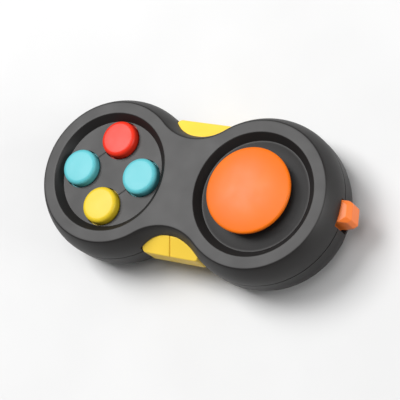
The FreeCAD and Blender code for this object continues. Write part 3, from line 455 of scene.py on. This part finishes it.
def cutOut(data, tool):
    # what is left of a closed mesh after a closed tool is taken out of it
    pair = [bpy.data.objects.new(each.name, each) for each in (data, tool)]
    for item in pair:
        bpy.context.scene.collection.objects.link(item)
    boolean = pair[0].modifiers.new("cut", "BOOLEAN")
    boolean.object = pair[1]
    boolean.operation = "DIFFERENCE"
    boolean.solver = "EXACT"
    ready = pair[0].evaluated_get(bpy.context.evaluated_depsgraph_get())
    result = bpy.data.meshes.new_from_object(ready)
    for item in pair:
        bpy.data.objects.remove(item)
    return result


sharpFrom = 32  # degrees between faces that stay a crisp edge


def finishPiece(data, name, body, nodes, material):
    data.transform(Matrix.Scale(mm, 4))
    data.materials.clear()
    data.materials.append(material)
    data.shade_smooth()
    data.set_sharp_from_angle(angle=math.radians(sharpFrom))
    piece = bpy.data.objects.new(name, data)
    bpy.context.scene.collection.objects.link(piece)
    evening = piece.modifiers.new("evenShading", "WEIGHTED_NORMAL")
    evening.keep_sharp = True
    evening.weight = 100
    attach(piece, body)
    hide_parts(*nodes)
    print("made", name, len(data.polygons), "faces")


# ---- the waisted housing

def planNormal(point):
    # outwards in plan: away from the lobe's axis, or towards the bay's centre between the lobes
    fromBay = point.xy - Vector((0, math.copysign(bayCentre, point.y)))
    if abs(fromBay.x) * bayCentre < halfSpacing * abs(fromBay.y):
        return -fromBay.normalized()
    return (point.xy - Vector((math.copysign(halfSpacing, point.x), 0))).normalized()


def waistedRing(mesh, flare, height):
    # lobe, waist, lobe, waist: four arcs spun one from the end of the other
    lean = math.atan2(bayCentre, halfSpacing)
    reach = skirtSlope["lobeRadius"] + flare
    start = (halfSpacing - reach * math.cos(lean), -reach * math.sin(lean), height)
    vert = mesh.verts.new(start)
    lobeSweep, baySweep = 2 * (math.pi - lean), 2 * lean - math.pi
    lobeSteps, baySteps = skirtSlope["lobeSteps"], skirtSlope["baySteps"]
    for x, y, sweep, steps in (
        (halfSpacing, 0, lobeSweep, lobeSteps),
        (0, bayCentre, baySweep, baySteps),
        (-halfSpacing, 0, lobeSweep, lobeSteps),
        (0, -bayCentre, baySweep, baySteps),
    ):
        turned = bmesh.ops.spin(
            mesh, geom=[vert], cent=(x, y, height), axis=(0, 0, 1), dvec=(0, 0, 0),
            angle=sweep, steps=steps, use_merge=False, use_duplicate=False,
        )
        vert = [item for item in turned["geom_last"] if isinstance(item, bmesh.types.BMVert)][0]
    bmesh.ops.remove_doubles(mesh, verts=mesh.verts, dist=near["wallMerge"])
    return list(mesh.edges)


def wallFrom(mesh, profile):
    # carries the plan through a list of (flare, height) pairs
    flare, height = profile[0]
    ring = waistedRing(mesh, flare, height)
    rings = [ring]
    for nextFlare, height in profile[1:]:
        made = bmesh.ops.extrude_edge_only(mesh, edges=ring)["geom"]
        for vert in (item for item in made if isinstance(item, bmesh.types.BMVert)):
            shift = planNormal(vert.co) * (nextFlare - flare)
            vert.co = (vert.co.x + shift.x, vert.co.y + shift.y, height)
        ring = [item for item in made if isinstance(item, bmesh.types.BMEdge)]
        ring = [
            edge for edge in ring
            if all(abs(vert.co.z - height) < near["wallRing"] for vert in edge.verts)
        ]
        rings.append(ring)
        flare = nextFlare
    return rings


def skirtCurve(drop):
    # one parabola through the three flares
    total = 0
    for flare, place in skirtSlope["flare"]:
        share = 1
        for _, other in skirtSlope["flare"]:
            if other != place:
                share *= (drop - other) / (place - other)
        total += flare * share
    return total


def skirtPoints():
    # (flare, drop) pairs from the flat face's edge to the upright band
    first, last = skirtSlope["flare"][0][1], skirtSlope["flare"][-1][1]
    steps = skirtSlope["steps"]
    drops = [first + (last - first) * step / steps for step in range(steps + 1)]
    return [(skirtCurve(drop), drop) for drop in drops]


print("helpers ready")


# ---- housing shells

shells = {
    "border": 0.6,  # flat strip kept beside every edge that is rounded
    "lowBorder": 0.22,  # the same where the screws stand close to the wall
    "footShare": 0.8,  # of that strip, rounded off
    "rimRound": 0.16,
    "split": 10.2,  # height of the joint
    "revealHeight": 0.3,
    "revealDepth": 0.5,
    "wall": 2.2,
    "tongue": 1.2,
    "tongueWall": 0.8,
    "tongueGap": 0.1,
    "floor": 1.8,
    "plateUnder": 13.75,  # underside of the wells
    "wellRadius": 15.0,
    "wellFloorRadius": 13.4,
    "wellFloor": 15.15,
    "holeRadius": 4.85,
    "domeOpening": 7.2,
    "domeTop": 16.4,
    "domeCurve": 40.0,
    "ballRoom": 11.8,  # hollow under the dome, about the stick's pivot
    "pivot": 5.5,
    "footRound": 0.1,  # where the dome meets the well's floor
    "lipRound": 0.3,
    "domeSteps": 12,
    "hollowSteps": 6,
    "turnSteps": 160,
    "holeSteps": 96,
}
windows = {
    "half": 7.95,
    "section": ((8.8, 14.2), (12.6, 14.2), (20.0, 9.66), (20.0, 7.34), (12.6, 2.8), (8.8, 2.8)),
}
switchSlot = {
    "half": 3.34,
    "low": 4.9,
    "high": 12.1,
    "from": 36.5,
    "to": 45.0,
    "round": 0.4,
}
flareFull = skirtSlope["flare"][-1][0]
cavity = flareFull - shells["wall"]


def cutOpenings(data):
    # both trigger windows and the switch's slot
    for side in (1, -1):
        tool = bmesh.new()
        corners = [(side * across, up) for across, up in windows["section"]]
        prism(tool, corners, -windows["half"], windows["half"])
        data = cutOut(data, toMesh(tool, "windowTool"))
    tool = bmesh.new()
    half, low, high = switchSlot["half"], switchSlot["low"], switchSlot["high"]
    corners = [(-half, low), (half, low), (half, high), (-half, high)]
    prism(tool, corners, switchSlot["from"], switchSlot["to"])
    lengthwise = sharpEdges(tool, 30, lambda edge: abs(edge.verts[0].co.x - edge.verts[1].co.x) > 1)
    soften(tool, lengthwise, switchSlot["round"])
    return cutOut(data, toMesh(tool, "slotTool"))


def makeTopShell(material):
    mesh = bmesh.new()
    top, split = padTop, shells["split"]
    rebate = cavity + shells["tongueWall"] + shells["tongueGap"]
    rebateTop = split + shells["tongue"] + shells["tongueGap"]
    profile = [(-shells["border"], top), (0, top)]
    profile += [(flare, top - drop) for flare, drop in skirtPoints()]
    profile += [
        (rebate, split),
        (rebate, rebateTop),
        (cavity, rebateTop),
        (cavity, shells["plateUnder"]),
        (cavity - shells["border"], shells["plateUnder"]),
    ]
    rings = wallFrom(mesh, profile)
    soften(mesh, rings[1], shells["rimRound"])

    wellTop, wellFoot = shells["wellRadius"], shells["wellFloorRadius"]
    buttonWell = [(wellTop + shells["border"], top), (wellTop, top), (wellFoot, shells["wellFloor"])]
    spinProfile(mesh, buttonWell, buttonAxis, shells["turnSteps"])
    opening, lip = shells["domeOpening"], shells["domeTop"]
    room, pivot = shells["ballRoom"], shells["pivot"]
    underLip = pivot + math.sqrt(room ** 2 - opening ** 2)
    roomFoot = math.sqrt(room ** 2 - (shells["plateUnder"] - pivot) ** 2)
    wellFloor, domeCurve = shells["wellFloor"], shells["domeCurve"]
    dome = arc((opening, lip), (wellFoot, wellFloor), domeCurve, shells["domeSteps"])
    hollow = arc((opening, underLip), (roomFoot, shells["plateUnder"]), room, shells["hollowSteps"])
    stickWell = buttonWell + dome[::-1] + [(opening, lip), (opening, underLip)] + hollow
    stickWell += [(roomFoot, shells["plateUnder"]), (roomFoot + shells["border"], shells["plateUnder"])]
    spinProfile(mesh, stickWell, stickAxis, shells["turnSteps"])
    for place in buttonPlaces.values():
        hole = [(shells["holeRadius"], wellFloor), (shells["holeRadius"], shells["plateUnder"])]
        spinProfile(mesh, hole, place, shells["holeSteps"])
    for axis in (buttonAxis, stickAxis):
        soften(mesh, ringAt(mesh, axis, wellTop, top), shells["rimRound"])
    soften(mesh, ringAt(mesh, stickAxis, wellFoot, wellFloor), shells["footRound"], 2)
    soften(mesh, ringAt(mesh, stickAxis, opening, lip), shells["lipRound"])
    for height in (top, wellFloor, shells["plateUnder"]):
        fillLevel(mesh, height)
    data = cutOpenings(toMesh(mesh, "topShellMoulding"))
    finishPiece(data, "top_shell_moulding", "root", ["top_shell"], material)


screws = {
    "sinkRadius": 1.95,
    "seat": 2.2,  # height of the face under the head
    "shankHole": 1.0,
    "pillarRadius": 2.2,
    "pillarTop": 7.0,
    "headRadius": 1.7,
    "headFace": 0.9,
    "shankRadius": 0.95,
    "recessHalf": 1.05,
    "recessArm": 0.24,
    "recessDepth": 0.75,
    "recessStart": 1.0,  # how far outside the head the recess tool begins
    "recessFoot": 0.55,  # its width at the foot, as a share of the width at the face
    "crown": 0.12,  # the head's edge stands this far back from its middle
    "crownPlace": 0.6,
    "crownStep": 0.02,
    "edgeRound": 0.3,
    "point": 0.6,
    "sinkSteps": 64,
    "turnSteps": 48,
    "turns": (12, 71, 38, 55),  # degrees that each recess happens to stand at
}


def screwPlaces():
    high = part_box("housing_screws")[1]
    across = high.x / mm - screws["headRadius"]
    along = high.y / mm - screws["headRadius"]
    return [Vector((side * across, end * along, 0)) for side in (1, -1) for end in (1, -1)]


def makeBottomShell(material):
    mesh = bmesh.new()
    split = shells["split"]
    bandTop = split - shells["revealHeight"]
    neck = flareFull - shells["revealDepth"]
    tongue = cavity + shells["tongueWall"]
    border = shells["lowBorder"]
    profile = [(-border, 0), (0, 0)]
    profile += skirtPoints()
    profile += [
        (flareFull, bandTop),
        (neck, bandTop),
        (neck, split),
        (tongue, split),
        (tongue, split + shells["tongue"]),
        (cavity, split + shells["tongue"]),
        (cavity, shells["floor"]),
        (cavity - border, shells["floor"]),
    ]
    rings = wallFrom(mesh, profile)
    soften(mesh, rings[1], shells["footShare"] * border)
    sink, pillar = screws["sinkRadius"], screws["pillarRadius"]
    for place in screwPlaces():
        spinProfile(mesh, [
            (sink + border, 0),
            (sink, 0),
            (sink, screws["seat"]),
            (screws["shankHole"], screws["seat"]),
            (screws["shankHole"], screws["pillarTop"]),
            (pillar, screws["pillarTop"]),
            (pillar, shells["floor"]),
        ], place, screws["sinkSteps"])
        soften(mesh, ringAt(mesh, place, sink, 0), shells["footShare"] * border)
    for height in (0, shells["floor"]):
        fillLevel(mesh, height)
    data = cutOpenings(toMesh(mesh, "bottomShellMoulding"))
    finishPiece(data, "bottom_shell_moulding", "root", ["bottom_shell"], material)


# ---- push buttons

buttons = {
    "radius": 4.54,
    "round": 1.0,
    "crown": 0.07,  # the flat top is drawn in a little at its edge
    "flangeTop": 13.55,
    "flangeFoot": 12.35,
    "flangeRound": 0.15,
    "stemRadius": 1.8,
    "stemRound": 0.3,
    "turnSteps": 96,
}


def makeButton(name, material):
    mesh = bmesh.new()
    place = Vector((buttonPlaces[name].x, buttonPlaces[name].y, 0))
    low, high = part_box(name)
    top, foot = high.z / mm, low.z / mm
    flange = (high.x - low.x) / 2 / mm
    radius = buttons["radius"]
    spinProfile(mesh, [
        (0, top),
        (radius * 0.5, top - buttons["crown"] * 0.25),
        (radius, top - buttons["crown"]),
        (radius, buttons["flangeTop"]),
        (flange, buttons["flangeTop"]),
        (flange, buttons["flangeFoot"]),
        (buttons["stemRadius"], buttons["flangeFoot"]),
        (buttons["stemRadius"], foot),
        (0, foot),
    ], place, buttons["turnSteps"])
    bmesh.ops.remove_doubles(mesh, verts=mesh.verts, dist=near["merge"])
    soften(mesh, ringAt(mesh, place, radius, top - buttons["crown"]), buttons["round"], 8)
    for height in (buttons["flangeTop"], buttons["flangeFoot"]):
        soften(mesh, ringAt(mesh, place, flange, height), buttons["flangeRound"], 3)
    soften(mesh, ringAt(mesh, place, buttons["stemRadius"], foot), buttons["stemRound"], 3)
    finishPiece(toMesh(mesh, name), name + "_moulding", name, [name], material)


# ---- thumb cap

cap = {
    "side": 0.95,
    "undercut": 1.8,
    "undercutDrop": 0.5,
    "bossRadius": 3.6,
    "socketRadius": 2.42,
    "socketDepth": 1.6,
    "crown": 1.1,
    "crownSteps": 14,
    "edgeRound": 0.38,
    "sideRound": 0.28,
    "undercutRound": 0.3,
    "bossRound": 0.2,
    "turnSteps": 160,
}


def makeCap(material):
    mesh = bmesh.new()
    low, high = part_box("stick_cap")
    radius = (high.x - low.x) / 2 / mm
    top, bossFoot = high.z / mm, low.z / mm
    edge = top - cap["crown"]
    sideFoot = edge - cap["side"]
    foot = sideFoot - cap["undercutDrop"]
    crownRadius = (radius ** 2 + cap["crown"] ** 2) / (2 * cap["crown"])
    socketTop = bossFoot + cap["socketDepth"]
    crown = arc((0, top), (radius, edge), crownRadius, cap["crownSteps"])
    profile = [(0, top)] + crown + [
        (radius, edge),
        (radius, sideFoot),
        (radius - cap["undercut"], foot),
        (cap["bossRadius"], foot),
        (cap["bossRadius"], bossFoot),
        (cap["socketRadius"], bossFoot),
        (cap["socketRadius"], socketTop),
        (0, socketTop),
    ]
    spinProfile(mesh, profile, stickAxis, cap["turnSteps"])
    bmesh.ops.remove_doubles(mesh, verts=mesh.verts, dist=near["merge"])
    soften(mesh, ringAt(mesh, stickAxis, radius, edge), cap["edgeRound"], 6)
    soften(mesh, ringAt(mesh, stickAxis, radius, sideFoot), cap["sideRound"])
    soften(mesh, ringAt(mesh, stickAxis, radius - cap["undercut"], foot), cap["undercutRound"])
    soften(mesh, ringAt(mesh, stickAxis, cap["bossRadius"], bossFoot), cap["bossRound"], 3)
    data = toMesh(mesh, "cap")
    finishPiece(data, "stick_cap_moulding", "stick", ["stick_cap"], material)


# ---- triggers

triggers = {
    "nose": ((12.6, 14.0), (17.0, 11.3), (17.0, 5.7), (12.6, 3.0)),
    "back": ((12.3, 3.5), (10.2, 3.5), (10.2, 13.5), (12.3, 13.5)),
    "cornerRound": 1.0,
    "edgeRound": 0.3,
    "seam": 0.1,
    "half": 7.6,
    "earReach": 1.4,
    "earRoot": 0.3,  # how far the ear starts inside the nose
    "ear": (12.0, 13.48),  # inner and outer face of the ears, from the centre line
    "earHeight": 7.0,
    "rodRadius": 1.0,
    "rodPlace": 3.7,
    "rodStart": 10.4,  # just inside the back of the nose
    "rodEnd": 2.0,
    "rodSteps": 32,
    "middle": 8.5,
}


def addRod(mesh, side, facing):
    # guide rod along Y behind the nose
    start, end = triggers["rodStart"], triggers["rodEnd"]
    middle = Vector((side * triggers["rodPlace"], facing * (start + end) / 2, triggers["middle"]))
    bmesh.ops.create_cone(
        mesh, cap_ends=True, segments=triggers["rodSteps"],
        radius1=triggers["rodRadius"], radius2=triggers["rodRadius"], depth=start - end,
        matrix=Matrix.Translation(middle) @ Matrix.Rotation(math.radians(90), 4, "X"),
    )


def makeTrigger(name, start, end, facing, sides, material):
    # facing is -1 for the -Y side and 1 for the +Y side
    mesh = bmesh.new()
    corners = [(facing * depth, height) for depth, height in triggers["nose"] + triggers["back"]]
    prism(mesh, corners, start, end)
    face = facing * triggers["nose"][1][0]
    half = triggers["half"]

    def isOuterCorner(edge):
        spots = [vert.co for vert in edge.verts]
        onFace = all(abs(spot.y - face) < near["corner"] for spot in spots)
        onEnd = all(abs(abs(spot.x) - half) < near["corner"] for spot in spots)
        return onFace and onEnd and abs(spots[0].x - spots[1].x) < near["corner"]

    def isOnNose(edge):
        return all(abs(vert.co.y) > triggers["nose"][0][0] - near["corner"] for vert in edge.verts)

    soften(mesh, sharpEdges(mesh, 30, isOuterCorner), triggers["cornerRound"], 8)
    soften(mesh, sharpEdges(mesh, 20, isOnNose), triggers["edgeRound"], 4)
    data = toMesh(mesh, name)
    extra = bmesh.new()
    extra.from_mesh(data)
    inner, outer = triggers["ear"]
    for side in sides:
        low = triggers["middle"] - triggers["earHeight"] / 2
        root, tip = side * (half - triggers["earRoot"]), side * (half + triggers["earReach"])
        back, front = facing * inner, facing * outer
        ear = [(root, back), (tip, back), (tip, front), (root, front)]
        prism(extra, ear, low, low + triggers["earHeight"], "Z")
        addRod(extra, side, facing)
    finishPiece(toMesh(extra, name), name + "_moulding", name, [name], material)


# ---- flip switch

lever = {
    "half": 2.65,
    "hub": 3.0,
    "length": 5.6,
    "tipHalf": 2.0,
    "tipBevel": 1.0,
    "soft": 0.2,
    "lean": 9.0,  # degrees from the middle
    "boreRadius": 0.96,
    "boreSteps": 48,
    "hubSteps": 32,
}


def makeLever(material):
    mesh = bmesh.new()
    low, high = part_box("flip_switch")
    foot, top = low.z / mm, high.z / mm
    joint = next(item for item in frame["joints"] if item["name"] == "switch_flip")
    pivot = Vector(joint["pos_m"]) / mm
    half, hub, length = lever["half"], lever["hub"], lever["length"]
    noseStart = math.sqrt(hub ** 2 - half ** 2)
    bevelStart = length - lever["tipBevel"]
    corners = [
        (noseStart, -half),
        (bevelStart, -half),
        (length, -lever["tipHalf"]),
        (length, lever["tipHalf"]),
        (bevelStart, half),
        (noseStart, half),
    ]
    corners += leverHub(noseStart, half, hub)
    prism(mesh, corners, foot, top, "Z")

    def atTip(edge):
        level = abs(edge.verts[0].co.z - edge.verts[1].co.z) < near["corner"]
        return level and all(vert.co.x > bevelStart - near["corner"] for vert in edge.verts)

    soften(mesh, sharpEdges(mesh, 30, atTip), lever["tipBevel"], 1)
    soften(mesh, sharpEdges(mesh, 20), lever["soft"], 3)
    data = toMesh(mesh, "lever")
    bore = bmesh.new()
    bmesh.ops.create_cone(
        bore, cap_ends=True, segments=lever["boreSteps"],
        radius1=lever["boreRadius"], radius2=lever["boreRadius"], depth=3 * (top - foot),
        matrix=Matrix.Translation((0, 0, (foot + top) / 2)),
    )
    data = cutOut(data, toMesh(bore, "boreTool"))
    turn = Matrix.Rotation(math.radians(lever["lean"]), 4, "Z")
    data.transform(Matrix.Translation((pivot.x, pivot.y, 0)) @ turn)
    nodes = ["flip_switch"]
    finishPiece(data, "flip_switch_moulding", "flip_switch", nodes, material)


def leverHub(noseStart, half, hub):
    # the round back of the lever, from one side to the other
    first = math.atan2(half, noseStart)
    steps = lever["hubSteps"]
    angles = [first + (math.tau - 2 * first) * step / steps for step in range(1, steps)]
    return [(hub * math.cos(angle), hub * math.sin(angle)) for angle in angles]


# ---- screws

def makeScrews(material):
    tip = topOf("housing_screws")
    head, face, shank = screws["headRadius"], screws["headFace"], screws["shankRadius"]
    edge = face + screws["crown"]
    one = bmesh.new()
    origin = Vector((0, 0, 0))
    spinProfile(one, [
        (0, face),
        (head * screws["crownPlace"], face + screws["crownStep"]),
        (head, edge),
        (head, screws["seat"]),
        (shank, screws["seat"]),
        (shank, tip - screws["point"]),
        (shank / 2, tip),
        (0, tip),
    ], origin, screws["turnSteps"])
    bmesh.ops.remove_doubles(one, verts=one.verts, dist=near["merge"])
    soften(one, ringAt(one, origin, head, edge), screws["edgeRound"], 4)
    data = toMesh(one, "screw")
    wide, arm = screws["recessHalf"], screws["recessArm"]
    narrow, deep = wide * screws["recessFoot"], face + screws["recessDepth"]
    outside = face - screws["recessStart"]
    corners = [(-wide, outside), (wide, outside), (narrow, deep), (-narrow, deep)]
    for degrees in (0, 90):
        recess = bmesh.new()
        prism(recess, corners, -arm, arm)
        turn = Matrix.Rotation(math.radians(degrees), 3, "Z")
        bmesh.ops.rotate(recess, cent=(0, 0, 0), matrix=turn, verts=recess.verts)
        data = cutOut(data, toMesh(recess, "recessTool"))
    group = bmesh.new()
    for place, degrees in zip(screwPlaces(), screws["turns"]):
        before = len(group.verts)
        group.from_mesh(data)
        group.verts.ensure_lookup_table()
        new = group.verts[before:]
        turn = Matrix.Rotation(math.radians(degrees), 3, "Z")
        bmesh.ops.rotate(group, cent=(0, 0, 0), matrix=turn, verts=new)
        bmesh.ops.translate(group, vec=place, verts=new)
    data = toMesh(group, "screws")
    finishPiece(data, "housing_screws_plated", "root", ["housing_screws"], material)


# ---- making everything

weldSize = {"halfLength": 1.9, "halfWidth": 0.14}


def weldsBetweenHoles():
    # knit lines where the melt closed between neighbouring button holes
    lines = []
    for first, second in (("button_teal_left", "button_red"), ("button_yellow", "button_teal_right")):
        here, there = buttonPlaces[first], buttonPlaces[second]
        middle = (here + there) / 2
        angle = math.degrees(math.atan2(there.y - here.y, there.x - here.x))
        spot = (middle.x, middle.y, shells["wellFloor"])
        lines.append((spot, angle, weldSize["halfLength"], weldSize["halfWidth"]))
    return lines


topBlack = mouldedPlastic("sparkTexturedBlackAbs", blackAbsLook, weldsBetweenHoles())
bottomBlack = mouldedPlastic("sparkTexturedBlackAbsPlain", blackAbsLook)
innerBlack = mouldedPlastic("smoothBlackAbs", innerAbsLook)
tealAbs = mouldedPlastic("tealMouldedAbs", brightAbsLook("5bb1b9", "56acb4"))
redAbs = mouldedPlastic("redMouldedAbs", brightAbsLook("d8301c", "d22c19"))
yellowAbs = mouldedPlastic("yellowMouldedAbs", brightAbsLook("d3b72b", "ceb127"))
triggerAbs = mouldedPlastic("amberMouldedAbs", brightAbsLook("f0cb4c", "ebc646"))
orangeAbs = mouldedPlastic("orangeMouldedAbs", brightAbsLook("d96709", "d36208", 0.35))
leverAbs = mouldedPlastic("orangeGlossMouldedAbs", brightAbsLook("ee7b36", "e87632", 0.3))
springWire = drawnWire("drawnSpringSteel")
screwZinc = zincPlate("brightZincPlatedSteel")
print("materials made")

makeTopShell(topBlack)
makeBottomShell(bottomBlack)
for name, material, slot in (
    ("button_teal_right", tealAbs, "teal_plastic"),
    ("button_red", redAbs, "red_plastic"),
    ("button_teal_left", tealAbs, "teal_plastic"),
    ("button_yellow", yellowAbs, "yellow_plastic"),
):
    makeButton(name, material)
makeCap(orangeAbs)
halfSeam = triggers["seam"] / 2
makeTrigger("trigger_front_left", -triggers["half"], -halfSeam, -1, [-1], triggerAbs)
makeTrigger("trigger_front_right", halfSeam, triggers["half"], -1, [1], triggerAbs)
makeTrigger("trigger_back", -triggers["half"], triggers["half"], 1, [-1, 1], triggerAbs)
makeLever(leverAbs)
makeScrews(screwZinc)


def dressInnerNodes():
    # the hidden CAD pieces keep their shape and get a finish
    for name in ("button_base", "stick_cradle", "trigger_rail", "gimbal_ring", "stick_post"):
        frame["nodes"][name].data.materials.clear()
        frame["nodes"][name].data.materials.append(innerBlack)
    for name in ("stick_spring", "stick_pin", "switch_pin", "switch_leaf"):
        frame["nodes"][name].data.materials.clear()
        frame["nodes"][name].data.materials.append(springWire)


springs = {
    "slack": 0.02,  # mm that a coil closes up beyond the travel
    "sharpFrom": 40,
}


def makeSprings(material):
    # each coil spring that a slide joint deforms is copied from the frame, merged and given the wire
    # finish
    for joint in frame["joints"]:
        if joint["type"] != "slide":
            continue
        for node in (item["node"] for item in joint["deforming_nodes"]):
            mesh = bmesh.new()
            mesh.from_mesh(frame["nodes"][node].data)
            bmesh.ops.remove_doubles(mesh, verts=mesh.verts, dist=near["springMerge"] * mm)
            data = bpy.data.meshes.new(node)
            mesh.to_mesh(data)
            mesh.free()
            data.materials.clear()
            data.materials.append(material)
            data.shade_smooth()
            data.set_sharp_from_angle(angle=math.radians(springs["sharpFrom"]))
            coil = bpy.data.objects.new(node + "_wound", data)
            bpy.context.scene.collection.objects.link(coil)
            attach(coil, "root")
            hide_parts(node)
            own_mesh(coil)


dressInnerNodes()
makeSprings(springWire)
print("pieces made")


# ---- floor and lights

studio = {
    "floorSize": 3.0,
    "world": 0.2,
    "lights": (
        # name, place, size, watts
        ("overhead", (-0.377, 0.181, 0.752), 0.4, 7.8),
        ("top", (0.08, 0.1, 0.9), 0.45, 2.7),
        ("side", (0.75, 0.08, 0.22), 0.4, 3.4),
    ),
}


def makeStudio():
    mesh = bmesh.new()
    bmesh.ops.create_grid(mesh, x_segments=4, y_segments=4, size=studio["floorSize"] / 2)
    data = bpy.data.meshes.new("floor")
    mesh.to_mesh(data)
    mesh.free()
    data.materials.append(paleFloor("mattLaminate"))
    floor = bpy.data.objects.new("floor", data)
    bpy.context.scene.collection.objects.link(floor)
    for name, place, size, watts in studio["lights"]:
        light = bpy.data.lights.new(name, "AREA")
        light.size = size
        light.energy = watts
        lamp = bpy.data.objects.new(name, light)
        lamp.location = place
        lamp.rotation_euler = (-Vector(place)).to_track_quat("-Z", "Y").to_euler()
        bpy.context.scene.collection.objects.link(lamp)
    world = bpy.data.worlds.new("studio")
    world.use_nodes = True
    sky = world.node_tree.nodes["Background"]
    sky.inputs["Color"].default_value = colour("ffffff")
    sky.inputs["Strength"].default_value = studio["world"]
    bpy.context.scene.world = world
    bpy.context.scene.view_settings.view_transform = "Standard"


makeStudio()
print("studio ready")
